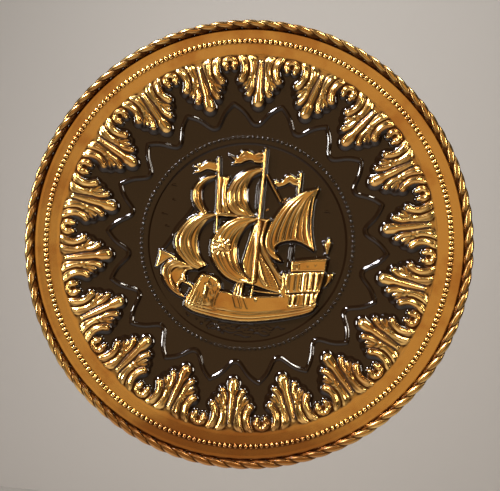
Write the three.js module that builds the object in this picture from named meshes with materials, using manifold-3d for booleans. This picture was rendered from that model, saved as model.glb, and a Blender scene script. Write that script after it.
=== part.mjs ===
// A round pressed-metal wall plaque: a dished sheet with a rope-twist edge, a leaf border of eighteen
// palmettes, a zigzag ridge and a medallion with a sailing ship in relief. Millimetres.
// The relief is laid out in plan (x right, y up, z towards the viewer) and stood upright at the end,
// so the finished plaque faces -Y, has +Z up, and has its origin at the middle of its back.
import * as THREE from "three";
import { mergeVertices } from "three/addons/utils/BufferGeometryUtils.js";
import Module from "manifold-3d";

// ---- Driving sizes -------------------------------------------------------------------------------
const OUTER_RADIUS = 180; // over the crests of the rope edge
const WALL = 0.6; // thickness of the sheet
const SINK = 0.5; // how far each piece of relief is rooted in the sheet
const FIELD_SLOPE = Math.tan(THREE.MathUtils.degToRad(10.2)); // the dish rises towards its rim
const UNITS = 18; // palmettes, and scrolls between them
const DISH_SEGMENTS = 36;

const RING = { foot: 80.6, inner: 82.5, outer: 90, height: 3.2, shoulder: 2.4 }; // round the medallion
const FIELD = { start: 92.5, end: 151, base: 2.3 }; // sloping ground of the border
// The flat band outside the leaves, and the low crest that stands for its row of beads.
const BAND = { start: 155.5, end: 171.4, rise: 1.2, level: 1.5 };
const BEADS = { radius: 162.8, foot: 2.6, crest: 1.4, height: 1.7 };
const ROPE = { strands: 84, radius: 3.6, valley: 2.7, stepsPerStrand: 2, sides: 6, lift: 3.3 };
const ZIGZAG = { peak: 114.1, valley: 97.8, width: 2.2, height: 1.6 };

const RELIEF = { leaf: 2.6, scroll: 2, hull: 5, sail: 4, spar: 3.2, flag: 2.2 };

// ---- Solids --------------------------------------------------------------------------------------
const wasm = await Module();
wasm.setup();

// A closed three.js geometry as a solid, turned face out whichever way its faces were wound.
function solid(geometry) {
  const bare = geometry.clone();
  bare.deleteAttribute("normal");
  bare.deleteAttribute("uv");
  const merged = mergeVertices(bare, 1e-4);
  const vertProperties = merged.attributes.position.array;
  const triVerts = new Uint32Array(merged.index.array);
  const made = new wasm.Manifold(new wasm.Mesh({ numProp: 3, vertProperties, triVerts }));
  if (made.volume() > 0) return made;
  for (let i = 0; i < triVerts.length; i += 3) {
    [triVerts[i + 1], triVerts[i + 2]] = [triVerts[i + 2], triVerts[i + 1]];
  }
  return new wasm.Manifold(new wasm.Mesh({ numProp: 3, vertProperties, triVerts }));
}

function geometryOf(manifold) {
  const mesh = manifold.getMesh();
  const geometry = new THREE.BufferGeometry();
  geometry.setAttribute("position", new THREE.BufferAttribute(mesh.vertProperties, 3));
  geometry.setIndex(new THREE.BufferAttribute(mesh.triVerts, 1));
  return geometry;
}

const joined = (solids) => solids.reduce((whole, next) => whole.add(next));

function polar(radius, degrees) {
  const angle = THREE.MathUtils.degToRad(degrees);
  return new THREE.Vector2(radius * Math.cos(angle), radius * Math.sin(angle));
}

// ---- The dished sheet ----------------------------------------------------------------------------
const bandBase = FIELD.base + (FIELD.end - FIELD.start) * FIELD_SLOPE;
const ropeCentre = { radius: OUTER_RADIUS - ROPE.radius, height: bandBase + ROPE.lift };

// The front of the sheet from its middle to the rolled edge, as [radius, height] corners.
const FRONT = [
  [0, WALL],
  [RING.foot, WALL],
  [RING.inner, RING.shoulder],
  [RING.outer, RING.height],
  [FIELD.start, FIELD.base],
  [FIELD.end, bandBase],
  [BAND.start, bandBase + BAND.rise],
  [BEADS.radius - BEADS.foot, bandBase + BAND.level],
  [BEADS.radius - BEADS.crest, bandBase + BAND.level + BEADS.height],
  [BEADS.radius + BEADS.crest, bandBase + BAND.level + BEADS.height],
  [BEADS.radius + BEADS.foot, bandBase + BAND.level],
  [BAND.end, bandBase + BAND.level + 0.5],
  [ropeCentre.radius, ropeCentre.height - 0.4],
].map(([radius, height]) => new THREE.Vector2(radius, height));

// Height of the sheet's front at a radius.
function frontHeight(radius) {
  const outer = FRONT.findIndex((corner) => corner.x > radius);
  if (outer < 1) return FRONT.at(-1).y;
  const [a, b] = [FRONT[outer - 1], FRONT[outer]];
  return THREE.MathUtils.mapLinear(radius, a.x, b.x, a.y, b.y);
}

// The same line moved back by the sheet's thickness, mitred at its corners.
function offsetBack(line, thickness) {
  return line.map((corner, i) => {
    const before = line[Math.max(i - 1, 0)];
    const after = line[Math.min(i + 1, line.length - 1)];
    const normals = [
      [before, corner],
      [corner, after],
    ]
      .filter(([a, b]) => a !== b)
      .map(([a, b]) => new THREE.Vector2(b.y - a.y, a.x - b.x).normalize());
    const sum = normals.reduce((s, n) => s.clone().add(n));
    const mitre = sum.clone().normalize();
    const moved = corner.clone().addScaledVector(mitre, thickness / mitre.dot(normals[0]));
    return i === 0 ? new THREE.Vector2(0, corner.y - thickness) : moved;
  });
}

function dish() {
  const profile = [...FRONT, ...offsetBack(FRONT, WALL).reverse()];
  const lathe = new THREE.LatheGeometry(profile, DISH_SEGMENTS);
  lathe.rotateX(Math.PI / 2); // the lathe turns about Y; plan height is Z
  return solid(lathe);
}

// The rolled edge: a ring whose section turns as it runs round, so its ridges lie like laid strands.
function ropeEdge() {
  const steps = ROPE.strands * ROPE.stepsPerStrand;
  const tube = new THREE.TorusGeometry(ropeCentre.radius, ROPE.radius, ROPE.sides, steps);
  const place = tube.attributes.position;
  const columns = steps + 1;
  const turnPerStep = (2 * Math.PI) / (ROPE.sides / 2) / ROPE.stepsPerStrand;
  for (let side = 0; side <= ROPE.sides; side++) {
    for (let step = 0; step <= steps; step++) {
      const reach = (side % ROPE.sides) % 2 === 0 ? ROPE.radius : ROPE.valley;
      const section = (side / ROPE.sides) * 2 * Math.PI - (step % steps) * turnPerStep;
      const radius = ropeCentre.radius + reach * Math.cos(section);
      const at = polar(radius, ((step % steps) / steps) * 360);
      place.setXYZ(side * columns + step, at.x, at.y, ropeCentre.height + reach * Math.sin(section));
    }
  }
  return solid(tube);
}

// ---- Relief makers -------------------------------------------------------------------------------
// Plan points become heights: the foot is rooted in the sheet and the rest stands on it.
const onSheet = (x, y, height) => frontHeight(Math.hypot(x, y)) + (height > 0 ? height : -SINK);

// A ridge along a plan curve: three-sided, with its foot in the sheet and its crest in the middle.
function ridge(points, halfWidth, height, steps = 1) {
  const curve = new THREE.CatmullRomCurve3(points.map((p) => new THREE.Vector3(p.x, p.y, 0)));
  const form = new THREE.CylinderGeometry(1, 1, 1, 3, steps);
  const place = form.attributes.position;
  for (let i = 0; i < place.count; i++) {
    const t = THREE.MathUtils.clamp(place.getY(i) + 0.5, 0, 1);
    const at = curve.getPoint(t);
    const along = curve.getTangent(t);
    const across = Math.sign(Math.round(place.getX(i))) * halfWidth;
    const x = at.x - along.y * across;
    const y = at.y + along.x * across;
    place.setXYZ(i, x, y, onSheet(x, y, place.getZ(i) > 0.5 ? height : 0));
  }
  return solid(form);
}

// A piece with an outline, laid over the sheet; height is a number or a function of the plan point.
function plate(shape, height) {
  const heightAt = typeof height === "function" ? height : () => height;
  const form = new THREE.ExtrudeGeometry(shape, { depth: 1, bevelEnabled: false, steps: 1 });
  const place = form.attributes.position;
  for (let i = 0; i < place.count; i++) {
    const [x, y] = [place.getX(i), place.getY(i)];
    place.setZ(i, onSheet(x, y, place.getZ(i) > 0.5 ? heightAt(x, y) : 0));
  }
  return solid(form);
}

const outline = (pairs) => new THREE.Shape(pairs.map(([x, y]) => new THREE.Vector2(x, y)));

// ---- Leaf border ---------------------------------------------------------------------------------
// Half of a palmette's outline, from the notch over its stem round its lobes to its foot. Each corner is
// [radius, side, height]; side is an arc length at LEAF_PITCH_RADIUS, and height a share of the relief.
const LEAF_PITCH_RADIUS = 131;
const LEAF_CORNERS = [
  [144.5, 0, 0.8],
  [151.4, 8.4, 0.4],
  [149.6, 12, 0.7],
  [151.4, 15.2, 0.4],
  [144, 17, 0.8],
  [134, 20, 0.7],
  [128.8, 16.4, 1],
  [122, 14.4, 0.7],
  [118.2, 9.6, 0.9],
  [124.5, 3.4, 0.6],
  [114, 3.2, 0.8],
  [110, 0, 0.8],
];
const SCROLL = { radius: 145.6, mean: 4.2, half: 1, drop: 5.4, spread: 3, sweep: 100 };

function palmette(axis) {
  const mirrored = LEAF_CORNERS.slice(1, -1).reverse().map(([radius, side, share]) => [radius, -side, share]);
  const corners = [...LEAF_CORNERS, ...mirrored];
  const swung = corners.map(([radius, side]) => {
    return polar(radius, axis + THREE.MathUtils.radToDeg(side / LEAF_PITCH_RADIUS));
  });
  return plate(new THREE.Shape(swung), (x, y) => {
    const nearest = swung.findIndex((corner) => corner.distanceTo(new THREE.Vector2(x, y)) < 0.01);
    return RELIEF.leaf * corners[nearest][2];
  });
}

// A C-scroll: a horseshoe that opens towards the middle of the plaque.
function scroll(axis) {
  const centre = polar(SCROLL.radius, axis);
  const inward = polar(1, axis + 180);
  const sideways = new THREE.Vector2(-inward.y, inward.x);
  const at = (side, along) => centre.clone().addScaledVector(sideways, side).addScaledVector(inward, along);
  const arc = [-1, -0.5, 0, 0.5, 1].map((turn) => {
    const angle = THREE.MathUtils.degToRad(turn * SCROLL.sweep);
    return at(SCROLL.mean * Math.sin(angle), -SCROLL.mean * Math.cos(angle));
  });
  const points = [at(-SCROLL.spread, SCROLL.drop), ...arc, at(SCROLL.spread, SCROLL.drop)];
  return ridge(points, SCROLL.half, RELIEF.scroll, 6);
}

// The narrow ridge that zigzags between the medallion and the leaves.
function zigzag() {
  const corners = (shift) => {
    return Array.from({ length: 2 * UNITS }, (_, i) => {
      const radius = (i % 2 === 0 ? ZIGZAG.peak : ZIGZAG.valley) + shift;
      return polar(radius, (i * 180) / UNITS);
    });
  };
  const band = new THREE.Shape(corners(ZIGZAG.width / 2));
  band.holes.push(new THREE.Path(corners(-ZIGZAG.width / 2)));
  return plate(band, ZIGZAG.height);
}

// ---- The ship ------------------------------------------------------------------------------------
// Everything here is in plan, from the middle of the medallion.
const MASTS = [
  { foot: [8.5, -31], top: [9.5, 78], half: 1.7 },
  { foot: [-25.6, 9], top: [-28.6, 67], half: 1.3 },
  { foot: [37.2, -17], top: [39.4, 59], half: 1.2 },
];
const YARD = { from: [-41, 20.2], to: [17, 19.4], half: 0.9 };
const GAFF = { from: [12, 56.5], to: [27, 35], half: 0.9 };
const BOWSPRIT = { from: [-70, -13.5], to: [-55, -18.5], half: 1 };

// A sail seen edge-on to the wind: a crescent between a full outer curve and a flatter inner one.
function crescent(outer, inner) {
  const points = (pairs) => pairs.map(([x, y]) => new THREE.Vector2(x, y));
  const curve = (pairs) => new THREE.SplineCurve(points(pairs)).getPoints(2 * (pairs.length - 1));
  return new THREE.Shape([...curve(outer), ...curve(inner)]);
}

const SAILS = [
  // main topsail
  crescent(
    [[7, 61.5], [-9, 56], [-18.5, 40], [-15, 25], [-4, 20.8]],
    [[7, 22.5], [-2, 32], [-2.5, 45], [6, 59]],
  ),
  // main course
  crescent(
    [[7, 20], [-14, 17.5], [-27.5, 0], [-24.5, -19], [-8, -32.5], [12, -35.5], [31, -38]],
    [[9, -31.5], [-4, -20], [-7.5, -3], [6, 16.5]],
  ),
  // fore topsail
  crescent(
    [[-29, 52], [-41, 48.5], [-47.3, 36], [-42, 23.5], [-36.5, 20.5]],
    [[-34.5, 22.5], [-40, 33], [-39, 44], [-31, 50.5]],
  ),
  // fore course
  crescent(
    [[-27, 20], [-46, 17], [-58.5, -1], [-53, -17], [-38, -25.5]],
    [[-32, -20.5], [-40, -11], [-40.5, 3], [-29, 19]],
  ),
  // spritsail
  crescent(
    [[-40, -24.5], [-58, -18.8], [-66.6, -28], [-61, -41], [-46.5, -49.5]],
    [[-49, -47.5], [-52.5, -42], [-47, -36.8], [-48, -29.5], [-39, -25.6]],
  ),
  // lateen mizzen
  crescent(
    [[54.6, 48.5], [38, 41.5], [22, 23], [14.5, 3], [20, -9], [30, -13.2]],
    [[24, -7], [25, 1], [38, 4.2], [54.6, -1.8], [49.8, 22]],
  ),
];

const PLEATED_SAIL = [[-27.5, 52], [-18.6, 52], [-20, 38], [-16.5, 25.5], [-9, 20.6], [-26.4, 20.6]];
const SHROUDS = [
  [[5.4, 17], [8.2, 17], [8.2, -30], [2, -28], [-1, -15]],
  [[9, 18], [16.5, 18.5], [13, 2], [17, -12], [31, -27], [31.5, -38.5], [10, -33.5]],
];
const FLAGS = [
  [[8, 75], [1, 73], [-8, 75], [-14, 68.6], [-20.5, 71], [-15.5, 66], [-17, 63], [-8, 65], [0, 68], [8, 66]],
  [[-28.5, 63], [-38, 63.7], [-43, 59.6], [-49, 59], [-44.5, 57], [-48, 53.6], [-38, 58], [-29, 56]],
  [[39.5, 55.5], [31, 58], [25, 52], [19, 52.6], [22, 48], [31, 52], [38.5, 49]],
  [[-70, -13.2], [-60, -17.6], [-65.5, -20], [-72.5, -26]],
];
const HULL_DECK = [[-45, -48], [-17, -42], [4, -44.6], [36, -41], [60, -41]];
const HULL_KEEL = [[60.5, -47.6], [44, -56.4], [12, -64], [-14, -64], [-38, -59.4], [-46, -55]];
const CASTLES = [
  [[-45.5, -49], [-40, -38], [-35, -28], [-22, -31.4], [-17.4, -38.5], [-22, -53], [-40, -56]],
  [[38, -12.6], [45, -10.8], [66.6, -8], [65, -18.6], [62, -37], [60, -47], [38, -50], [34, -38], [34, -23]],
];
const LANTERN = [[67, 8.6], [69.2, 5], [66, -5], [63.6, 3.6]];
const POSTS = [
  [[-6, -32], [0, -32], [0, -44.6], [-8, -44.4]],
  [[5.6, -34], [9, -34], [8.4, -44.6], [5, -44.6]],
  [[31.4, -25], [33.6, -25], [36.6, -42], [31, -40]],
];
const QUARTER_WING = [[67.8, -21], [73, -19.8], [70.4, -26], [67, -31]];

function spar({ from, to, foot, top, half }, height) {
  const ends = [foot ?? from, top ?? to].map(([x, y]) => new THREE.Vector2(x, y));
  return ridge(ends, half, height);
}

function ship() {
  const hull = crescent(HULL_DECK, HULL_KEEL);
  return joined([
    plate(hull, RELIEF.hull),
    ...CASTLES.map((pairs) => plate(outline(pairs), RELIEF.hull - 0.6)),
    ...SAILS.map((shape) => plate(shape, RELIEF.sail)),
    plate(outline(PLEATED_SAIL), RELIEF.sail - 0.8),
    ...SHROUDS.map((pairs) => plate(outline(pairs), RELIEF.sail - 1.2)),
    ...FLAGS.map((pairs) => plate(outline(pairs), RELIEF.flag)),
    ...POSTS.map((pairs) => plate(outline(pairs), RELIEF.flag)),
    plate(outline(LANTERN), RELIEF.flag),
    plate(outline(QUARTER_WING), RELIEF.flag - 0.8),
    ...MASTS.map((mast) => spar(mast, RELIEF.spar)),
    ...[YARD, GAFF, BOWSPRIT].map((pole) => spar(pole, RELIEF.spar - 1)),
  ]);
}

// ---- The plaque ----------------------------------------------------------------------------------
function plaque() {
  const step = 360 / UNITS;
  const border = [];
  for (let i = 0; i < UNITS; i++) {
    border.push(palmette(step / 2 + i * step), scroll(i * step));
  }
  return joined([dish(), ropeEdge(), zigzag(), ...border, ship()]);
}

const lacqueredCopper = new THREE.MeshStandardMaterial({ color: 0xc08a3e, roughness: 0.3, metalness: 1 });
const plaqueMesh = new THREE.Mesh(geometryOf(plaque()), lacqueredCopper);
plaqueMesh.name = "plaque";
plaqueMesh.rotation.x = Math.PI / 2;

const part = new THREE.Group();
part.add(plaqueMesh);

export default part;
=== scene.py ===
"""A pressed copper-alloy wall plaque with a ship medallion, dressed in lacquer and black enamel.

The sheet is built as closed thin shells from height fields: the front carries the relief, and the back
repeats it hollow, as a pressing does. Relief is laid out in millimetres in plan, x to the right and z up
from the middle of the plaque, with height standing out of the plan towards the viewer (-Y).
"""

import logging
import math
from dataclasses import dataclass, field
from enum import Enum
from typing import Iterable, Sequence

import bpy
import numpy as np
from mathutils import Matrix, Vector


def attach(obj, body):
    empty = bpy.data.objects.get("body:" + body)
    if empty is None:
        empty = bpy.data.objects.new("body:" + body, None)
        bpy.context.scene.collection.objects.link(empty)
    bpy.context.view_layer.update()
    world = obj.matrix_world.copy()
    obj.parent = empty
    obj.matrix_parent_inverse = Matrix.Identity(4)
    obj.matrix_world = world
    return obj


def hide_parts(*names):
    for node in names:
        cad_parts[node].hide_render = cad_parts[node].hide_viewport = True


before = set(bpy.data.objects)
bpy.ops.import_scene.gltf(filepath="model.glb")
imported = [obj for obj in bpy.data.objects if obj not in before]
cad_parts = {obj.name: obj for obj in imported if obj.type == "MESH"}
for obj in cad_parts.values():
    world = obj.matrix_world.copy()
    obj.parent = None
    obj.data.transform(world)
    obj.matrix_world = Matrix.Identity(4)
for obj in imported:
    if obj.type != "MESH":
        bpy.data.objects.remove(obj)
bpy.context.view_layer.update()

MM = 0.001
TURN = 2 * math.pi
NODE = "plaque"
BODY = "root"
WALL = 0.6  # thickness of the sheet, in millimetres
SOFT_FOOT = 0.95  # power that rounds the foot of a pressed ridge
BLUR_PASSES = 3
BACK_REACH = 2  # cells over which the sheet's back stays behind its front
BACK_DIRT_AND_SHADE = (0.35, 0.5)  # dirt on the back everywhere, and the share of the front's painted shade and dirt that is added

log = logging.getLogger("plaque")

Points = Sequence[tuple[float, float]]
Array = np.ndarray


# ---- Numbers and curves ----------------------------------------------------------------------------


def smooth_step(value: Array, low: float, high: float) -> Array:
    """Eases from 0 at low to 1 at high."""
    t = np.clip((value - low) / (high - low), 0.0, 1.0)
    return t * t * (3.0 - 2.0 * t)


def bell(value: Array, middle: float, width: float) -> Array:
    """A rounded ridge of height 1 at middle that has gone at about twice its width."""
    return np.exp(-(((value - middle) / width) ** 2))


def ridge(away: Array, half: Array | float) -> Array:
    """The section of a pressed ridge: 1 on its crest, 0 from half its width outwards."""
    return np.clip(1 - (away / half) ** 2, 0, 1) ** SOFT_FOOT


def spline(points: Points, steps: int = 6, closed: bool = False) -> Array:
    """A Catmull-Rom curve through points.

    Args:
        points: the points it passes through.
        steps: pieces between two points.
        closed: whether it runs back to its start.

    Returns:
        The curve's points, one row each.
    """
    p = np.asarray(points, float)
    if closed:
        p = np.vstack([p[-1], p, p[0], p[1]])
    else:
        p = np.vstack([2 * p[0] - p[1], p, 2 * p[-1] - p[-2]])
    t = np.linspace(0, 1, steps, endpoint=False)[:, None]
    made = []
    for a, b, c, d in zip(p[:-3], p[1:-2], p[2:-1], p[3:]):
        bend = (2 * a - 5 * b + 4 * c - d) * t**2
        twist = (3 * b - a - 3 * c + d) * t**3
        made.append(0.5 * (2 * b + (c - a) * t + bend + twist))
    if not closed:
        made.append(p[-2][None, :])
    return np.vstack(made)


def to_line(x: Array, z: Array, line: Array) -> tuple[Array, Array]:
    """Distance from plan points to a line of straight pieces.

    Args:
        x: the points' x.
        z: the points' z.
        line: the line's corners, one row each.

    Returns:
        The distance, and how far along the line (0 to 1) its nearest point is.
    """
    best = np.full(x.shape, np.inf)
    along = np.zeros(x.shape)
    lengths = np.hypot(*np.diff(line, axis=0).T)
    before = np.concatenate([[0.0], np.cumsum(lengths)])
    for (ax, az), (bx, bz), length, start in zip(line[:-1], line[1:], lengths, before):
        if length < 1e-9:
            continue
        ux, uz = (bx - ax) / length, (bz - az) / length
        t = np.clip((x - ax) * ux + (z - az) * uz, 0, length)
        d = np.hypot(x - ax - t * ux, z - az - t * uz)
        nearer = d < best
        best = np.where(nearer, d, best)
        along = np.where(nearer, (start + t) / before[-1], along)
    return best, along


def inside(x: Array, z: Array, outline: Array) -> Array:
    """Whether plan points lie inside a closed outline.

    Args:
        x: the points' x.
        z: the points' z.
        outline: its corners, one row each.

    Returns:
        True for each point inside.
    """
    found = np.zeros(x.shape, bool)
    for (ax, az), (bx, bz) in zip(outline, np.roll(outline, -1, axis=0)):
        if az == bz:
            continue
        crosses = (az > z) != (bz > z)
        found ^= crosses & (x < (bx - ax) * (z - az) / (bz - az) + ax)
    return found


def to_outline(x: Array, z: Array, outline: Array) -> Array:
    """Distance to a closed outline: negative inside it."""
    distance, _ = to_line(x, z, np.vstack([outline, outline[:1]]))
    return np.where(inside(x, z, outline), -distance, distance)


def blurred(values: Array, radius: int, wraps: bool = False) -> Array:
    """A box blur, run a few times along both axes, close to a soft round one.

    Args:
        values: rows and columns.
        radius: half the box, in cells.
        wraps: whether the columns close on themselves.

    Returns:
        The blurred values, of the same shape.
    """
    size = 2 * radius + 1
    out = values
    for _ in range(BLUR_PASSES):
        for axis in (0, 1):
            mode = "wrap" if wraps and axis == 1 else "edge"
            pad = [(0, 0), (0, 0)]
            pad[axis] = (radius + 1, radius)
            total = np.cumsum(np.pad(out, pad, mode=mode), axis=axis)
            ahead = np.take(total, range(size, total.shape[axis]), axis=axis)
            behind = np.take(total, range(0, total.shape[axis] - size), axis=axis)
            out = (ahead - behind) / size
    return out


# ---- The sheet as a mesh ---------------------------------------------------------------------------


@dataclass
class Skin:
    """One face of the sheet as rows and columns of points, in millimetres.

    Attributes:
        x: distance to the right of the plaque's middle.
        z: distance above it.
        height: how far the front stands from the wall.
        gilt: 1 where bare lacquered metal shows, 0 where enamel covers it.
        shade_and_dirt: painted shade with a little dirt, 1 deep in a hollow, 0 on a crest.
        closed: whether the last column meets the first.
    """

    x: Array
    z: Array
    height: Array
    gilt: Array
    shade_and_dirt: Array
    closed: bool

    def back(self) -> "Skin":
        """The sheet's other face, on every second row and column.

        Returns:
            The face, a sheet's thickness behind the lowest front point near each of its points.
        """
        low = self.height
        for axis in (0, 1):
            mode = "wrap" if self.closed and axis == 1 else "edge"
            pad = [(0, 0), (0, 0)]
            pad[axis] = (BACK_REACH, BACK_REACH)
            wide = np.pad(low, pad, mode=mode)
            size = low.shape[axis]
            starts = range(2 * BACK_REACH + 1)
            low = np.minimum.reduce([np.take(wide, range(k, k + size), axis=axis) for k in starts])
        pick = (slice(None, None, 2), slice(None, None, 2))
        height = np.maximum(low[pick] - WALL, 0.0)
        shade_and_dirt = self.shade_and_dirt[pick] * BACK_DIRT_AND_SHADE[1] + BACK_DIRT_AND_SHADE[0]
        return Skin(self.x[pick], self.z[pick], height, np.ones_like(height), shade_and_dirt, self.closed)

    def rim_loops(self, first: int) -> list[Array]:
        """Vertex numbers round each open edge, in the direction its faces run.

        Args:
            first: number of the first vertex.

        Returns:
            One loop for an open grid, and two for a ring.
        """
        rows, columns = self.x.shape
        at = first + np.arange(rows * columns).reshape(rows, columns)
        if self.closed:
            return [at[-1], np.roll(at[0, ::-1], 1)]
        return [np.concatenate([at[:-1, 0], at[-1, :-1], at[:0:-1, -1], at[0, :0:-1]])]

    def faces(self, first: int, outward: bool) -> Array:
        """Four-cornered faces, wound to face the viewer or the wall.

        Args:
            first: number of the first vertex.
            outward: whether they face the viewer.

        Returns:
            One row of four vertex numbers for each face.
        """
        rows, columns = self.x.shape
        at = first + np.arange(rows * columns).reshape(rows, columns)
        if self.closed:
            at = np.hstack([at, at[:, :1]])
        corners = [at[:-1, :-1], at[1:, :-1], at[1:, 1:], at[:-1, 1:]]
        quads = np.stack([c.ravel() for c in corners], axis=1)
        return quads if outward else quads[:, ::-1]

    def normals(self) -> Array:
        """Unit directions away from the sheet at each point, from its own slope.

        Returns:
            Rows and columns of directions.
        """
        spots = np.stack([self.x, -self.height, self.z], axis=-1)
        if self.closed:
            wide = np.concatenate([spots[:, -1:], spots, spots[:, :1]], axis=1)
            across = wide[:, 2:] - wide[:, :-2]
        else:
            across = np.gradient(spots, axis=1)
        along = np.gradient(spots, axis=0)
        made = np.cross(along, across)
        return made / np.maximum(np.linalg.norm(made, axis=-1, keepdims=True), 1e-12)


def seam(front: Array, back: Array) -> Array:
    """Triangles that close the edge between a front loop and a back loop of half its points.

    Args:
        front: vertex numbers round the front's edge.
        back: those round the back's.

    Returns:
        One row of three vertex numbers for each triangle.
    """
    f0, f1, f2 = front[0::2], front[1::2], np.roll(front, -2)[0::2]
    b0, b1 = back, np.roll(back, -1)
    return np.vstack([np.stack(t, axis=1) for t in ((f1, f0, b0), (f1, b0, b1), (f2, f1, b1))])


def mesh_from(name: str, spots: Array, faces: Iterable[Array]) -> bpy.types.Mesh:
    """A smooth-shaded mesh.

    Args:
        name: its name.
        spots: points in millimetres, one row each.
        faces: blocks of faces, each block with one count of corners.

    Returns:
        The mesh, in metres.
    """
    blocks = list(faces)
    sizes = np.concatenate([np.full(len(b), b.shape[1]) for b in blocks])
    corners = np.concatenate([b.ravel() for b in blocks])
    mesh = bpy.data.meshes.new(name)
    mesh.vertices.add(len(spots))
    mesh.vertices.foreach_set("co", (spots * MM).astype(np.float32).ravel())
    mesh.loops.add(len(corners))
    mesh.loops.foreach_set("vertex_index", corners.astype(np.int32))
    mesh.polygons.add(len(sizes))
    starts = np.concatenate([[0], np.cumsum(sizes)[:-1]])
    mesh.polygons.foreach_set("loop_start", starts.astype(np.int32))
    mesh.update(calc_edges=True)
    mesh.validate()
    mesh.shade_smooth()
    return mesh


def add_tint(mesh: bpy.types.Mesh, name: str, values: Array) -> None:
    """Stores a number for each vertex, for the finish to read."""
    layer = mesh.attributes.new(name, "FLOAT", "POINT")
    layer.data.foreach_set("value", values.astype(np.float32).ravel())


def placed(name: str, mesh: bpy.types.Mesh) -> bpy.types.Object:
    """An object at the origin for a mesh.

    Args:
        name: its name.
        mesh: what it shows.

    Returns:
        The object, in the scene.
    """
    made = bpy.data.objects.new(name, mesh)
    bpy.context.scene.collection.objects.link(made)
    return made


def shell(name: str, front: Skin, exact_normals: Array | None = None) -> bpy.types.Object:
    """A closed piece of the sheet.

    Args:
        name: the piece's name.
        front: its front face, with an odd count of rows (and of columns where they are open).
        exact_normals: directions for the front's shading, so that neighbouring pieces match.

    Returns:
        The piece.
    """
    back = front.back()
    count = front.x.size
    skins = [np.stack([s.x.ravel(), -s.height.ravel(), s.z.ravel()], axis=1) for s in (front, back)]
    spots = np.vstack(skins)
    blocks = [front.faces(0, True), back.faces(count, False)]
    blocks += [seam(f, b) for f, b in zip(front.rim_loops(0), back.rim_loops(count))]
    mesh = mesh_from(name, spots, blocks)
    add_tint(mesh, "gilt", np.concatenate([front.gilt.ravel(), back.gilt.ravel()]))
    add_tint(mesh, "shade_and_dirt", np.concatenate([front.shade_and_dirt.ravel(), back.shade_and_dirt.ravel()]))
    facing = front.normals() if exact_normals is None else exact_normals
    both = np.vstack([facing.reshape(-1, 3), -back.normals().reshape(-1, 3)])
    mesh.normals_split_custom_set_from_vertices(both.tolist())
    return placed(name, mesh)


@dataclass
class SheetPart:
    """A part of the pressed sheet, which builds its own pieces and dresses them.

    Attributes:
        finish: the material that its pieces wear.
    """

    finish: bpy.types.Material

    def build(self) -> list[bpy.types.Object]:
        """Makes the pieces, in a part of its own kind."""
        raise NotImplementedError

    def dress(self) -> None:
        """Builds the pieces, puts the finish on them, ties them to the plaque's body and reports them."""
        for piece in self.build():
            if not piece.data.materials:
                piece.data.materials.append(self.finish)
            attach(piece, BODY)
            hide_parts(NODE)
            log.info("%s: %d faces", piece.name, len(piece.data.polygons))


# ---- The dish and its leaf border ------------------------------------------------------------------


@dataclass(frozen=True)
class DishProfile:
    """Radii and heights of the plain dish, in millimetres, from the medallion out to the rolled edge.

    Attributes:
        start: radius and height under the medallion's ring, as offsets from the field's start.
        edge: the step under the rolled edge, as offsets from the band's end and height.
        spread: how far a corner is rounded, as a die leaves it.
        samples: reach, in spreads, and count of the points that a corner is averaged over.
    """

    start: tuple[float, float] = (-8.0, -1.6)
    field_start: float = 92.5
    field_end: float = 150.2
    field_base: float = 2.3
    slope_degrees: float = 10.2
    band_start: float = 153.2
    band_height: float = 14.0
    band_end: float = 171.3
    edge: Points = ((0.0, 0.7), (0.5, 1.3), (1.1, 1.0), (2.1, -0.4), (4.6, -0.2))
    spread: float = 0.45
    samples: tuple[float, int] = (1.6, 9)

    def corners(self) -> list[tuple[float, float]]:
        """The section as radius and height pairs.

        Returns:
            The pairs, from the inside out.
        """
        climb = (self.field_end - self.field_start) * math.tan(math.radians(self.slope_degrees))
        made = [
            (self.field_start + self.start[0], self.field_base + self.start[1]),
            (self.field_start, self.field_base),
            (self.field_end, self.field_base + climb),
            (self.band_start, self.band_height),
        ]
        return made + [(self.band_end + out, self.band_height + up) for out, up in self.edge]

    def height(self, radius: Array) -> Array:
        """The section's height, with its corners rounded.

        Args:
            radius: distances from the plaque's middle.

        Returns:
            A height for each.
        """
        pairs = np.array(self.corners())
        total = np.zeros_like(radius, dtype=float)
        reach, count = self.samples
        offsets = np.linspace(-reach, reach, count)
        weights = np.exp(-(offsets**2))
        for offset, weight in zip(offsets, weights / weights.sum()):
            total += weight * np.interp(radius + offset * self.spread, pairs[:, 0], pairs[:, 1])
        return total


@dataclass(frozen=True)
class Lobe:
    """One ridge of a leaf.

    Attributes:
        line: [radius, side] pairs; side is an arc length at LeafBorder.pitch_radius.
        half: half its width at its middle.
        height: how far its crest stands above the leaf's ground.
        tip: half width at its last point, as a share of half.
        root: half width at its first point, as a share of half.
    """

    line: Points
    half: float
    height: float
    tip: float = 0.5
    root: float = 0.4


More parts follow.
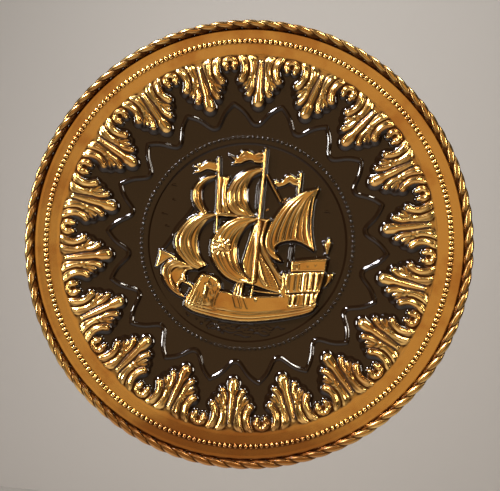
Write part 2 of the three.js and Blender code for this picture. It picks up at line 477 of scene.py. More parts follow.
@dataclass(frozen=True)
class LeafBorder:
    """Eighteen acanthus palmettes with C-scrolls between them, over a zigzag ridge.

    Attributes:
        pitch_radius: where a lobe's side is measured.
        ground: how far a palmette's own ground stands above the dish.
        margin: how far that ground reaches past the lobes.
        margin_fall: width of its black slope.
        top: radius where the border runs out in the band.
        ground_ramp: width over which the ground does so.
        crest_ramp: where its ridges begin and end to do so, as distances below the top.
        zigzag_side: [radius, degrees from a scroll's axis] along half a zigzag.
        ridge_foot: how far a ridge's foot reaches, in its half widths.
        swell_power: how far a lobe's crest sinks where it narrows.
        scroll_ends: degrees from a scroll's back to its two ends, and those of the arch behind it.
        disc: radii between which the disc in a scroll's bend falls away.
        plain_edge: [radius, side] along the plain triangle over a stem.
        bare_crest: [radius, share of a crest] above which the metal is bare; below 0 it is all bare.
    """

    units: int = 18
    pitch_radius: float = 131.0
    ground: float = 1.1
    margin: float = 3.8
    margin_fall: float = 2.2
    top: float = 153.4
    ground_ramp: float = 7.6
    crest_ramp: tuple[float, float] = (0.6, 4.2)
    zigzag_half: float = 1.2
    zigzag_height: float = 1.5
    zigzag_side: Points = (
        (97.4, 0.0), (97.8, 1.3), (99.6, 2.5), (102.4, 3.7), (105.5, 4.9), (108.7, 6.4), (111.4, 8.0),
        (114.3, 10.0),
    )
    ridge_foot: float = 1.4
    swell_power: float = 0.3
    scroll_radius: float = 145.5
    scroll_margin: float = 2.0
    scroll_mean: float = 4.1
    scroll_half: float = 1.25
    scroll_rise: float = 2.3
    scroll_ends: tuple[float, float] = (128.0, 112.0)
    arch_mean: float = 6.9
    arch_half: float = 1.0
    arch_rise: float = 0.7
    ball: float = 1.35
    ball_foot: float = 1.15
    ball_rise: float = 2.2
    ball_past_end: float = 1.5
    disc: tuple[float, float] = (1.6, 2.4)
    disc_rise: float = 1.0
    plain_edge: Points = ((146.4, 0.0), (149.0, 4.2), (152.0, 6.2), (154.0, 7.6))
    bare_crest: Points = ((108, 0.5), (122, 0.46), (136, 0.36), (144, 0.24), (149, -0.1), (151, -0.6))
    full_crest: float = 1.9
    lobes: tuple[Lobe, ...] = (
        Lobe([(146.2, 0.0), (138, 0.0), (126, 0.0), (118, 0.0)], 2.1, 2.9, 1.15, 0.4),
        Lobe([(124, 0.0), (118.5, 0.0), (114.6, 0.0)], 3.3, 3.3, 1.0, 0.6),
        Lobe([(152.6, 7.2), (149, 5.2), (145.6, 4.0), (140, 3.7), (136, 4.5), (133.6, 6.0)],
             0.75, 1.7, 0.9, 0.6),
        Lobe([(153.4, 10.2), (148.3, 7.4), (142.4, 6.2), (138, 6.1), (136.2, 6.6)], 1.3, 2.5, 0.9, 0.5),
        Lobe([(153.4, 14.0), (146.5, 10.3), (139.5, 8.9), (134, 9.1), (131, 10.7), (128.8, 13.4)],
             0.75, 1.7, 0.5, 0.6),
        Lobe([(153.4, 16.4), (145.4, 12.9), (139.5, 12.0), (135.4, 13.0), (132.6, 14.8)],
             1.6, 2.9, 1.35, 0.4),
        Lobe([(134.2, 5.4), (132.8, 7.4)], 1.6, 2.0, 1.0, 1.0),
        Lobe([(132.4, 5.4), (127, 5.9), (123.4, 7.2), (120.9, 9.0)], 1.55, 2.6, 1.2, 0.6),
        Lobe([(132, 8.2), (128, 9.4), (125.2, 11.2)], 1.0, 1.9, 0.9, 0.7),
        Lobe([(130.6, 10.6), (128.4, 12.4), (126.8, 14.2)], 0.75, 1.4, 0.7, 0.7),
    )

    def place(self, pairs: Points) -> Array:
        """Plan points for [radius, side] pairs, on an upright stem.

        Args:
            pairs: the pairs.

        Returns:
            The points, one row each.
        """
        radius, side = np.asarray(pairs, float).T
        swing = side / self.pitch_radius
        return np.stack([radius * np.sin(swing), radius * np.cos(swing)], axis=1)

    def leaf(self, x: Array, z: Array) -> tuple[Array, Array]:
        """The ridges of one palmette.

        Args:
            x: plan points' x.
            z: their z.

        Returns:
            Their height over the palmette's ground, and the distance to them.
        """
        crest = np.zeros_like(x)
        reach = np.full_like(x, np.inf)
        for lobe in self.lobes:
            for mirror in (1, -1):
                line = spline(self.place(lobe.line)) * (mirror, 1)
                away, along = to_line(x, z, line)
                swell = np.interp(along, [0, 0.45, 1], [lobe.root, 1, lobe.tip])
                half = lobe.half * swell
                top = lobe.height * swell**self.swell_power
                crest = np.maximum(crest, top * ridge(away, self.ridge_foot * half))
                reach = np.minimum(reach, away - half)
        return crest, reach

    def half_unit(self, radius: Array, columns: int) -> tuple[Array, Array]:
        """Relief and gilding from a scroll's axis to the next stem's.

        Args:
            radius: one for each row.
            columns: steps between the two axes.

        Returns:
            Height over the dish, and how bare the metal is, both rows by columns + 1.
        """
        swing = np.radians(np.linspace(180 / self.units, 0, columns + 1))
        grid_r, grid_a = np.meshgrid(radius, swing, indexing="ij")
        x, z = grid_r * np.sin(grid_a), grid_r * np.cos(grid_a)
        crest, reach = self.leaf(x, z)
        scroll, disc, from_scroll = self.scroll(x, z)
        reach = np.minimum(reach, from_scroll + self.margin - self.scroll_margin)
        limit, side = np.asarray(self.plain_edge).T
        plain = smooth_step(np.interp(grid_r, limit, side) - grid_a * self.pitch_radius, -0.2, 0.6)
        plain = plain * smooth_step(grid_r, limit[0] - 0.5, limit[0] + 0.5)
        stand = np.maximum(1 - smooth_step(reach, self.margin - self.margin_fall, self.margin), plain)
        level = self.ground * stand * smooth_step(grid_r, self.top, self.top - self.ground_ramp)
        fade = smooth_step(grid_r, self.top - self.crest_ramp[0], self.top - self.crest_ramp[1])
        relief = np.maximum(crest, scroll) * fade
        bare_from = np.interp(grid_r, *np.asarray(self.bare_crest).T)
        bare = smooth_step(relief / self.full_crest, bare_from - 0.14, bare_from + 0.1)
        bare = np.maximum(bare, np.maximum(plain, disc))
        return np.maximum(level + relief, self.zigzag(x, z)), bare

    def bow(self, mean: float, ends: float, count: int) -> Array:
        """Points on an arc round a scroll's middle, open towards the plaque's.

        Args:
            mean: its radius.
            ends: degrees from its back to each end.
            count: how many points.

        Returns:
            The points, one row each.
        """
        swing = math.radians(180 / self.units)
        outward = np.array([math.sin(swing), math.cos(swing)])
        side = np.array([-outward[1], outward[0]])
        turns = np.radians(np.linspace(-ends, ends, count))[:, None]
        return outward * self.scroll_radius + mean * (side * np.sin(turns) + outward * np.cos(turns))

    def scroll(self, x: Array, z: Array) -> tuple[Array, Array, Array]:
        """A C-scroll with a ball at each end.

        Args:
            x: plan points' x.
            z: their z.

        Returns:
            Its relief, the bare disc in its bend, and the distance to it.
        """
        arc = self.bow(self.scroll_mean, self.scroll_ends[0], 15)
        arch = self.bow(self.arch_mean, self.scroll_ends[1], 13)
        centre = self.bow(0.0, 0.0, 1)[0]
        inward = -centre / self.scroll_radius
        from_arc, _ = to_line(x, z, arc)
        from_arch, _ = to_line(x, z, arch)
        raised = np.maximum(self.scroll_rise * ridge(from_arc, self.ridge_foot * self.scroll_half),
                            self.arch_rise * ridge(from_arch, self.arch_half))
        for end in (arc[0], arc[-1]):
            ball = end + inward * self.ball_past_end
            away = np.hypot(x - ball[0], z - ball[1])
            raised = np.maximum(raised, self.ball_rise * ridge(away, self.ball_foot * self.ball))
            from_arc = np.minimum(from_arc, away - self.ball + self.scroll_half)
        disc = 1 - smooth_step(np.hypot(x - centre[0], z - centre[1]), *self.disc)
        return np.maximum(raised, self.disc_rise * disc), disc, from_arc - self.scroll_half

    def zigzag(self, x: Array, z: Array) -> Array:
        """The narrow ridge below the leaves: pointed at the scrolls, rounded under the stems.

        Args:
            x: plan points' x.
            z: their z.

        Returns:
            Its relief.
        """
        radius, degrees = np.asarray(self.zigzag_side).T
        swing = np.radians(degrees)
        turned = np.stack([radius * np.sin(swing), radius * np.cos(swing)], axis=1)
        away, _ = to_line(x, z, np.vstack([turned[1] * (-1, 1), turned]))
        return self.zigzag_height * ridge(away, self.zigzag_half)

    def around(self, radius: Array, columns: int) -> tuple[Array, Array]:
        """The whole border: half units mirrored and repeated.

        Args:
            radius: one for each row.
            columns: steps round the plaque, a multiple of twice the units.

        Returns:
            Height over the dish, and how bare the metal is.
        """
        made = []
        for half in self.half_unit(radius, columns // (2 * self.units)):
            unit = np.hstack([half[:, :-1], half[:, :0:-1]])
            made.append(np.tile(unit, (1, self.units)))
        return made[0], made[1]


@dataclass
class PressedRings(SheetPart):
    """The dish outside the medallion, on one set of rows and columns, parted into ring-shaped pieces.

    Attributes:
        columns: steps round the plaque.
        names: the pieces, from the inside out.
        cuts: radii where the sheet is parted into them.
        steps: distance between rows in each.
        ghost: rows past both ends, which let the soft edges run on.
        bead_circle: radius and width of the rim beads' row, round whose foot shade is painted.
        bead_foot_shade: the painted shade at that foot.
        soften: cells over which relief and gilding are softened.
        hollow_reach: cells over which a hollow is measured.
        hollows: how far a point lies under what is round it, from no painted shade to full painted shade.
    """

    dish: DishProfile = field(default_factory=DishProfile)
    border: LeafBorder = field(default_factory=LeafBorder)
    columns: int = 1620
    names: tuple[str, ...] = ("field", "leaf_tips", "leaf_border", "rim_band")
    cuts: tuple[float, ...] = (91.2, 117.5, 135.0, 152.8, 174.0)
    steps: tuple[float, ...] = (0.6, 0.45, 0.45, 0.9)
    ghost: int = 6
    bead_circle: tuple[float, float] = (162.8, 2.5)
    bead_foot_shade: float = 0.95
    soften: int = 1
    hollow_reach: int = 3
    hollows: tuple[float, float] = (-0.15, 0.5)

    def build(self) -> list[bpy.types.Object]:
        """Makes one closed piece between each two cuts.

        Returns:
            The pieces, from the inside out.
        """
        spans = list(zip(self.cuts[:-1], self.cuts[1:], self.steps))
        rows = [2 * round((end - start) / step / 2) for start, end, step in spans]
        inner = self.cuts[0] - self.steps[0] * np.arange(self.ghost, 0, -1)
        outer = self.cuts[-1] + self.steps[-1] * np.arange(0, self.ghost + 1)
        middle = [np.linspace(start, end, n, endpoint=False) for (start, end, _), n in zip(spans, rows)]
        radius = np.concatenate([inner, *middle, outer])
        relief, gilt = self.border.around(radius, self.columns)
        angle = np.arange(self.columns) * TURN / self.columns
        grid_r, grid_a = np.meshgrid(radius, angle, indexing="ij")
        height = self.dish.height(grid_r) + blurred(relief, self.soften, True)
        gilt = blurred(gilt, self.soften, True)
        # Shade is painted into the hollows: the further a point lies under its neighbours, the darker it
        # is.
        shade_and_dirt = smooth_step(blurred(height, self.hollow_reach, True) - height, *self.hollows)
        # Painted shade round the foot of the rim beads.
        shade_and_dirt = np.maximum(shade_and_dirt, self.bead_foot_shade * bell(grid_r, *self.bead_circle))
        whole = Skin(grid_r * np.cos(grid_a), grid_r * np.sin(grid_a), height, gilt, shade_and_dirt, True)
        normals = whole.normals()
        pieces = []
        start = self.ghost
        for name, count in zip(self.names, rows):
            span = slice(start, start + count + 1)
            part = Skin(*(getattr(whole, k)[span] for k in ("x", "z", "height", "gilt", "shade_and_dirt")), True)
            pieces.append(shell(name, part, normals[span]))
            start += count
        return pieces


# ---- The medallion's relief ------------------------------------------------------------------------


@dataclass(frozen=True)
class Stroke:
    """A raised line: a spar, a rope, a rail or the crest of a fold.

    Attributes:
        line: plan points it passes through.
        half: half its width.
        rise: how far its crest stands above what it lies on; negative for a groove.
        ends: its half width at both ends, as shares of half.
        base: lowest height of its foot, for a line that stands clear of any plate.
        gilt: how bare it is; below zero leaves the finish as it is.
    """

    line: Points
    half: float
    rise: float
    ends: tuple[float, float] = (0.7, 0.7)
    base: float = 0.0
    gilt: float = -1.0


@dataclass(frozen=True)
class Sheet:
    """A raised sheet between two edges, such as a sail, with ridges that run the same way as both.

    Attributes:
        outer: its bulging edge.
        inner: its other edge, run the same way.
        ridges: for each, where it lies from outer (0) to inner (1), half its width and its height.
        levels: heights at shares 0, .1, .3, .6, .8 and 1 of the way across, as shares of top.
        top: how far it stands above the ground.
        foot: extra outline points from inner's end to outer's end.
        fade: share across at which the enamel begins; above 1 for none.
        flank: width of the black slope outside it.
        depth: how deep its folds are pressed, against their given heights.
    """

    outer: Points
    inner: Points
    ridges: tuple[tuple[float, float, float], ...]
    levels: tuple[float, ...] = (0.84, 0.97, 1.0, 0.86, 0.62, 0.3)
    top: float = 3.8
    foot: Points = ()
    fade: float = 2.0
    flank: float = 2.0
    depth: float = 1.35


@dataclass(frozen=True)
class Plate:
    """A raised flat with a rounded edge, standing on its own outline.

    Attributes:
        outline: its corners.
        top: how far it stands above the ground.
        edge: width over which its edge is rounded.
        round_off: how much lower its edge is than its middle.
        flank: width of the black slope outside it.
        gilt: how bare it is.
    """

    outline: Points
    top: float
    edge: float = 1.2
    round_off: float = 0.5
    flank: float = 2.0
    gilt: float = 1.0


@dataclass
class ReliefField:
    """A fine square raster of height and bareness that relief is laid on, in the order it is given.

    Attributes:
        reach: half its side.
        step: distance between its samples.
        ground: height of the flat.
        clear: least rise over what is there that counts as higher.
        flank_power: how hollow the slope outside an outline is.
        outline_soft: distances to an outline between which bareness ends.
        level_shares: where across a sheet its levels lie.
        fold_taper: widths of a sheet between which its folds come up.
        fold_foot: how far a fold's foot reaches, in its half widths.
        fade_soft: shares across, from a sheet's fade, over which the enamel begins.
        line_foot: how far a line's foot reaches, in its half widths.
        line_slope: width of the slope round a line that stands clear.
        line_mark: shares of a line's crest between which its own bareness sets in.
        dome_mark: the same for a dome.
    """

    reach: float
    step: float
    ground: float
    clear: float = 0.02
    flank_power: float = 1.6
    outline_soft: tuple[float, float] = (-0.25, 0.3)
    level_shares: tuple[float, ...] = (0.0, 0.1, 0.3, 0.6, 0.8, 1.0)
    fold_taper: tuple[float, float] = (1.0, 7.0)
    fold_foot: float = 1.15
    fade_soft: tuple[float, float] = (-0.12, 0.1)
    line_foot: float = 1.2
    line_slope: float = 1.6
    line_mark: tuple[float, float] = (0.1, 0.45)
    dome_mark: tuple[float, float] = (0.1, 0.5)

    def __post_init__(self) -> None:
        """Starts flat and black."""
        axis = np.arange(-self.reach, self.reach + self.step / 2, self.step)
        self.x, self.z = np.meshgrid(axis, axis, indexing="ij")
        self.height = np.full_like(self.x, self.ground)
        self.gilt = np.zeros_like(self.x)

    def window(self, line: Array, margin: float) -> tuple[slice, slice]:
        """The part of the raster within margin of a line's box.

        Args:
            line: points, one row each.
            margin: how far past their box it reaches.

        Returns:
            Its rows and columns.
        """
        low = np.floor((line.min(axis=0) - margin + self.reach) / self.step).astype(int)
        high = np.ceil((line.max(axis=0) + margin + self.reach) / self.step).astype(int) + 1
        low = np.clip(low, 0, len(self.x))
        return slice(low[0], max(high[0], 0)), slice(low[1], max(high[1], 0))

    def stand(self, at: tuple[slice, slice], away: Array, top: Array, flank: float, gilt: Array) -> None:
        """Raises a form out of what is there, with a slope down from its outline.

        Args:
            at: the window.
            away: distance to the outline, negative inside.
            top: height above the ground inside, and of the nearest edge outside.
            flank: width of the slope.
            gilt: bareness inside.
        """
        fall = (1 - np.clip(away / flank, 0, 1)) ** self.flank_power
        raised = self.ground + top * np.where(away < 0, 1.0, fall)
        higher = raised > self.height[at] + self.clear
        self.height[at] = np.maximum(self.height[at], raised)
        within = 1 - smooth_step(away, *self.outline_soft)
        covers = higher | (away < 0)
        bared = np.maximum(gilt * within, self.gilt[at] * (away >= 0))
        self.gilt[at] = np.where(covers, bared, self.gilt[at])

    def sheet(self, piece: Sheet) -> None:
        """Lays a sheet on the relief.

        Args:
            piece: the sheet.
        """
        outer, inner = spline(piece.outer), spline(piece.inner)
        foot = [spline(piece.foot)[::-1]] if piece.foot else []
        outline = np.vstack([outer, *foot, inner[::-1]])
        at = self.window(outline, piece.flank + 0.5)
        x, z = self.x[at], self.z[at]
        away = to_outline(x, z, outline)
        to_outer, _ = to_line(x, z, outer)
        to_inner, _ = to_line(x, z, inner)
        share = to_outer / np.maximum(to_outer + to_inner, 1e-6)
        top = piece.top * np.interp(share, self.level_shares, piece.levels)
        taper = smooth_step(to_outer + to_inner, *self.fold_taper)
        folds = np.zeros_like(top)
        for middle, half, rise in piece.ridges:
            folds = np.maximum(folds, rise * ridge(share - middle, self.fold_foot * half))
        gilt = 1 - smooth_step(share, *(piece.fade + side for side in self.fade_soft))
        self.stand(at, away, top + piece.depth * folds * taper * (away < 0), piece.flank, gilt)

    def plate(self, piece: Plate) -> None:
        """Lays a plate on the relief.

        Args:
            piece: the plate.
        """
        outline = np.asarray(piece.outline, float)
        at = self.window(outline, piece.flank + 0.5)
        away = to_outline(self.x[at], self.z[at], outline)
        top = piece.top - piece.round_off * (1 - smooth_step(-away, 0, piece.edge))
        self.stand(at, away, top, piece.flank, np.full_like(top, piece.gilt))

    def stroke(self, piece: Stroke) -> None:
        """Lays a line on the relief, or presses it in.

        Args:
            piece: the line.
        """
        line = spline(piece.line)
        slope = self.line_slope if piece.base else 0.0
        at = self.window(line, piece.half + slope + 0.5)
        away, along = to_line(self.x[at], self.z[at], line)
        swell = np.interp(along, [0, 0.3, 0.7, 1], [piece.ends[0], 1, 1, piece.ends[1]])
        half = piece.half * swell
        profile = ridge(away, self.line_foot * half)
        if piece.base:
            bare = np.full_like(half, max(piece.gilt, 0))
            self.stand(at, away - half, np.full_like(half, piece.base), slope, bare)
        self.height[at] += piece.rise * profile
        if piece.gilt >= 0:
            mark = smooth_step(profile, *self.line_mark)
            self.gilt[at] = self.gilt[at] * (1 - mark) + piece.gilt * mark

    def dots(self, line: Points, pitch: float, radius: float, rise: float, gilt: float = -1.0) -> None:
        """Lays a row of small domes along a line.

        Args:
            line: plan points it passes through.
            pitch: distance between two domes.
            radius: a dome's.
            rise: how far its crest stands above what it lies on.
            gilt: how bare it is; below zero leaves the finish as it is.
        """
        path = spline(line)
        before = np.concatenate([[0.0], np.cumsum(np.hypot(*np.diff(path, axis=0).T))])
        count = max(int(before[-1] / pitch), 1)
        for spot in np.linspace(0, before[-1], count + 1):
            x, z = np.interp(spot, before, path[:, 0]), np.interp(spot, before, path[:, 1])
            at = self.window(np.array([[x, z]]), radius + 0.4)
            away = np.hypot(self.x[at] - x, self.z[at] - z)
            dome = np.sqrt(np.clip(1 - (away / radius) ** 2, 0, 1))
            self.height[at] += rise * dome
            if gilt >= 0:
                mark = smooth_step(dome, *self.dome_mark)
                self.gilt[at] = self.gilt[at] * (1 - mark) + gilt * mark

    def sampled(self, values: Array, x: Array, z: Array) -> Array:
        """Values read between the raster's samples.

        Args:
            values: one for each sample.
            x: plan points' x.
            z: their z.

        Returns:
            A value for each point.
        """
        u = np.clip((x + self.reach) / self.step, 0, len(self.x) - 1.001)
        v = np.clip((z + self.reach) / self.step, 0, len(self.x) - 1.001)
        i, j = u.astype(int), v.astype(int)
        du, dv = u - i, v - j
        low = values[i, j] * (1 - dv) + values[i, j + 1] * dv
        high = values[i + 1, j] * (1 - dv) + values[i + 1, j + 1] * dv
        return low * (1 - du) + high * du


@dataclass(frozen=True)
class Ship:
    """A three-masted galleon under sail, laid on the medallion part by part, from the back to the front.

    Attributes:
        hull_seams: grooves between the wales.
        back_cloth: canvas behind the two topsails.
        shroud_fan: the patch that the main shrouds lie on.
        stay_cloth: the patch that the stays and their cloth lie on.
        stay_lines: head and foot of each knotted stay.
        sunburst: the sun's middle on the main course.
        ray_reach: where its rays end, by turns.
        sun_patch: radii between which the smoothed patch under it fades.
        bow_ribs: the points of the bent ribs, a row for each level from the keel up.
        bow_curls: x, z and reach of each curl.
        stern_panels: left, right, upper and lower edge of each row of sunk panels.
        stern_columns: x, head, foot and half width of each column.
        sea_rows: height of the highest row of waves, and the step down to the next.
        sea_reach: radius that the waves stay within.
    """

    main_topsail: Sheet = Sheet(
        outer=[(7, 61.8), (3, 61), (-4, 58.6), (-10, 54.5), (-15, 49), (-18.6, 42), (-19.3, 38),
               (-18.5, 31), (-15, 25), (-10, 22), (-4, 20.8)],
        inner=[(7.5, 58), (4, 56.5), (0, 53), (-3.3, 45), (-3, 36), (0, 28), (4, 23.5), (7, 22.3)],
        ridges=((0.04, 0.05, 0.7), (0.19, 0.07, 0.9), (0.36, 0.07, 0.9), (0.58, 0.1, 0.8),
                (0.84, 0.1, 0.35)),
        fade=1.0,
    )
    fore_topsail: Sheet = Sheet(
        outer=[(-29, 52.5), (-35, 51.5), (-42, 47.5), (-46.7, 41), (-47.5, 35), (-45.3, 28), (-41, 23),
               (-37, 20.5)],
        inner=[(-32, 50.5), (-37, 47), (-40.2, 41), (-40, 34), (-37.5, 27), (-34, 22)],
        ridges=((0.2, 0.17, 0.9), (0.6, 0.15, 0.8)),
        top=3.4,
        fade=0.98,
    )
    fore_course: Sheet = Sheet(
        outer=[(-27, 20), (-38, 19.8), (-47, 16), (-54, 9), (-58, 1), (-58.7, -5), (-56, -13), (-50, -19),
               (-43, -24), (-38, -25.5)],
        inner=[(-28.5, 19), (-34.5, 14), (-39, 6), (-40.3, -2), (-39, -10), (-35.5, -17), (-31, -21)],
        ridges=((0.08, 0.07, 0.8), (0.29, 0.08, 0.9), (0.43, 0.05, 0.5), (0.57, 0.09, 0.9),
                (0.86, 0.1, 0.2)),
        fade=1.0,
    )
    main_course: Sheet = Sheet(
        outer=[(7, 20), (-5, 20), (-14, 17.2), (-21, 12), (-26, 4), (-28.6, -3), (-27.5, -13), (-24, -20),
               (-18, -27), (-12, -31), (-5, -33.2), (4, -33.8), (8, -34.4)],
        inner=[(6, 17.5), (0, 14), (-5, 6), (-7.5, -3), (-7, -12), (-4, -20), (1, -26.5), (5, -29.8),
               (9, -31.5)],
        ridges=((0.1, 0.08, 0.5), (0.3, 0.09, 0.6), (0.47, 0.07, 0.5), (0.64, 0.1, 0.9),
                (0.86, 0.09, 0.5)),
        top=4.3,
        fade=1.02,
    )
    lateen: Sheet = Sheet(
        outer=[(54.6, 48.5), (50, 46.8), (44, 45.2), (38, 41), (31, 35.5), (26, 29.5), (21, 21), (17, 12),
               (15.2, 3), (16.5, -4), (20, -9), (25, -12), (30, -13.4)],
        inner=[(54.6, 48.5), (50.4, 40), (48.9, 30), (48.9, 20), (50.4, 10), (54, -1)],
        foot=[(54, -1), (49, 1.5), (44, 3.6), (38, 4.4), (31, 3.2), (26, 0.8), (24, -2), (23.6, -5),
              (25, -8), (28, -11.5), (30, -13.4)],
        ridges=((0.05, 0.05, 0.7), (0.18, 0.07, 0.8), (0.33, 0.075, 0.9), (0.47, 0.06, 0.8),
                (0.61, 0.08, 1.0), (0.77, 0.07, 0.8), (0.91, 0.06, 0.7)),
        levels=(0.85, 0.97, 1.0, 1.0, 0.92, 0.8),
        top=3.9,
    )
    spritsail: Sheet = Sheet(
        outer=[(-42, -24.5), (-50, -20.8), (-58, -19), (-64, -21.5), (-67, -28), (-65.5, -35),
               (-60.5, -42), (-54, -46.8), (-46.5, -49.5)],
        inner=[(-41, -25.6), (-46, -26.6), (-48.2, -31), (-47, -35.2), (-50.5, -37.2), (-52.6, -41),
               (-51.5, -45), (-47, -48.8)],
        ridges=((0.09, 0.09, 0.8), (0.31, 0.1, 0.7), (0.93, 0.1, 0.6)),
        levels=(0.8, 1.0, 1.0, 0.7, 0.66, 0.8),
        top=2.9,
    )
    hull: Sheet = Sheet(
        outer=[(-45, -48), (-17, -42), (-5, -44), (5, -44.5), (15, -43.4), (25, -42.4), (36, -41.4),
               (60, -41)],
        inner=[(-46, -56), (-38, -60), (-20, -63.4), (-5, -64.6), (10, -64), (30, -60.4), (45, -56.4),
               (56, -52.5), (60.5, -47.5)],
        ridges=((0.64, 0.07, 0.55), (0.79, 0.06, 0.7), (0.93, 0.08, 0.6)),
        levels=(0.86, 0.93, 0.98, 1.0, 0.9, 0.62),
        top=4.1,
    )
    hull_seams: tuple[Points, ...] = (
        [(-45, -54.0), (-37, -57.7), (-20, -61.1), (-5, -62.3), (10, -61.7), (30, -58.1), (45, -54.2),
         (57.5, -49.6)],
        [(-44.8, -51.8), (-36, -55.3), (-20, -58.6), (-5, -59.8), (10, -59.2), (30, -55.8), (45, -51.9),
         (59, -47.2)],
        [(-36, -53.2), (-20, -56.2), (-5, -57.4), (10, -56.9), (30, -53.7), (45, -50.0), (59.6, -45.0)],
    )
    pennants: tuple[Sheet, ...] = (
        Sheet(
            outer=[(8.4, 75), (4, 74.4), (0, 73), (-6, 75), (-10, 74), (-13, 69.4), (-16, 68.6),
                   (-20.5, 71)],
            inner=[(8.4, 66), (2, 66), (-2, 68), (-7, 66.5), (-10, 64.6), (-13, 64.4), (-17, 63)],
            foot=[(-17, 63), (-14.8, 66), (-20.5, 71)],
            ridges=((0.15, 0.14, 0.5), (0.5, 0.13, 0.5), (0.85, 0.13, 0.5)),
            levels=(0.8, 1.0, 0.9, 0.9, 1.0, 0.8),
            top=2.1,
            flank=1.4,
        ),
        Sheet(
            outer=[(-28, 62.8), (-33, 63.5), (-38, 63.6), (-43, 59.8), (-49, 59)],
            inner=[(-28, 56), (-33, 57), (-38, 57.5), (-43, 54.8), (-48, 53.6)],
            foot=[(-48, 53.6), (-44.5, 57), (-49, 59)],
            ridges=((0.15, 0.14, 0.5), (0.5, 0.15, 0.5), (0.86, 0.13, 0.5)),
            levels=(0.8, 1.0, 0.9, 0.9, 1.0, 0.8),
            top=2.0,
            flank=1.4,
        ),
        Sheet(
            outer=[(40, 57), (36, 55.6), (31, 58), (28, 56.5), (25.5, 52.4), (22, 51), (19, 52.6)],
            inner=[(39, 49.5), (34, 50.5), (31, 52), (27, 49.5), (22, 47.8), (20, 49)],
            foot=[(20, 49), (19.2, 50.6), (19, 52.6)],
            ridges=((0.2, 0.18, 0.4), (0.75, 0.18, 0.4)),
            levels=(0.8, 1.0, 0.9, 0.9, 1.0, 0.8),
            top=2.0,
            flank=1.4,
        ),
    )
    bow_flag: Plate = Plate([(-70.4, -13), (-65, -15.2), (-60, -17.4), (-66, -21),
                             (-72.5, -26.4)], 2.0, flank=1.4)
    back_cloth: Plate = Plate(
        [(-27.5, 52), (-18.6, 52), (-19.6, 45), (-20, 38), (-17.5, 28), (-14, 23.5), (-9, 20.6),
         (-26.4, 20.6)], 2.7
    )
    shroud_fan: Plate = Plate([(6, 17.4), (8.6, 17.4), (9, -31), (5, -29.4), (1, -25.6),
                               (-1.4, -17)], 2.3, 1.0, 0.3)
    stay_cloth: Plate = Plate(
        [(9, 19), (16.4, 18.6), (15, 12), (13.6, 5), (13.8, 0), (17, -6), (22, -13), (27, -20.5),
         (31.5, -26.5), (33, -36), (31, -38.8), (20, -36.8), (8, -33.6), (8, -20)],
        2.6, 1.0, 0.4,
    )
    forecastle: Plate = Plate(
        [(-45, -49), (-42, -42), (-38.5, -36), (-35.5, -30.5), (-33.5, -28.8), (-27, -29.6), (-21, -32),
         (-18.6, -35), (-17.8, -39.5), (-19.5, -44), (-21.8, -49), (-22.6, -54), (-30, -57), (-40, -58),
         (-46, -56)], 4.7, 2.4, 1.2,
    )
    stern_tiers: tuple[Plate, ...] = (
        Plate([(38, -12.8), (45, -11), (56, -9.2), (66.6, -8), (65.6, -18), (52, -19.5),
               (38, -20.8)], 4.0, 0.8, 0.5),
        Plate([(34.5, -23), (40, -21.7), (52, -19.9), (65.4, -18.7), (64, -27), (62.4, -36), (50, -37),
               (37.6, -39), (35, -33), (34.4, -28)], 4.4, 0.8, 0.6),
        Plate([(36.6, -39.6), (50, -37.6), (62, -36.4), (60.4, -43), (57.4, -46.6), (48, -49),
               (37.8, -50)], 4.2, 0.8, 0.6),
        Plate([(31.5, -25), (32.2, -22.4), (33.4, -24), (34.6, -33), (37, -40), (38.4, -50), (36, -50),
               (35, -44), (32.4, -40.4), (30.6, -38.6), (32.4, -33)], 4.0, 0.8, 0.6),
        Plate([(67.8, -21), (73, -19.8), (70.4, -26), (66.4, -31)], 2.2, 0.8, 0.5, flank=1.2),
        Plate([(67, 8.6), (69.2, 5), (66.2, -5), (63.6, 3.6)], 2.6, 1.2, 0.9, flank=1.3),
    )
    spars: tuple[Stroke, ...] = (
        Stroke([(8.6, -31), (8.9, 20), (9.4, 76.5)], 1.15, 0.9, (1.0, 0.8), 3.6, 1.0),
        Stroke([(9.4, 75), (9.6, 79)], 0.8, 0.6, (1.2, 0.5), 2.4, 1.0),
        Stroke([(-25.4, 6), (-26.6, 40), (-28.6, 67)], 0.9, 0.8, (0.7, 0.9), 3.0, 1.0),
        Stroke([(39.2, 44), (39.6, 59.4)], 1.0, 0.7, (0.8, 1.1), 2.4, 1.0),
        Stroke([(37.4, -1), (37.0, -17)], 1.1, 0.9, (0.8, 1.0), 1.4, 0.0),
        Stroke([(6.3, 48), (6.3, 28)], 0.9, 1.0, (0.5, 0.5), 1.6, 0.0),
        Stroke([(-41, 20.4), (-10, 20.6), (17, 19.4)], 0.75, 0.8, (0.8, 0.8), 3.0, 1.0),
        Stroke([(12, 56.5), (25, 36)], 0.65, 0.6, (1.0, 0.9), 1.9, 1.0),
        Stroke([(-70.5, -13), (-63, -15.6), (-56, -18.6)], 0.7, 0.6, (0.8, 1.0), 2.0, 1.0),
        Stroke([(-49, -36.6), (-45, -37.8), (-41, -40)], 0.5, 0.5, (1.0, 1.0), 1.7, 1.0),
        Stroke([(54.6, 48.5), (52, 41), (51, 33), (50.7, 24), (51.3, 14), (52.9, 6),
                (55.2, -2)], 0.45, 0.6,
               (1.0, 0.8), 2.8, 1.0),
        Stroke([(-45.5, 26.5), (-51, 17), (-57, 9), (-60.5, 2), (-61.5, -1),
                (-68, -11.5)], 0.6, 0.7, (0.8, 1.0), 0.5, 0.0),
    )
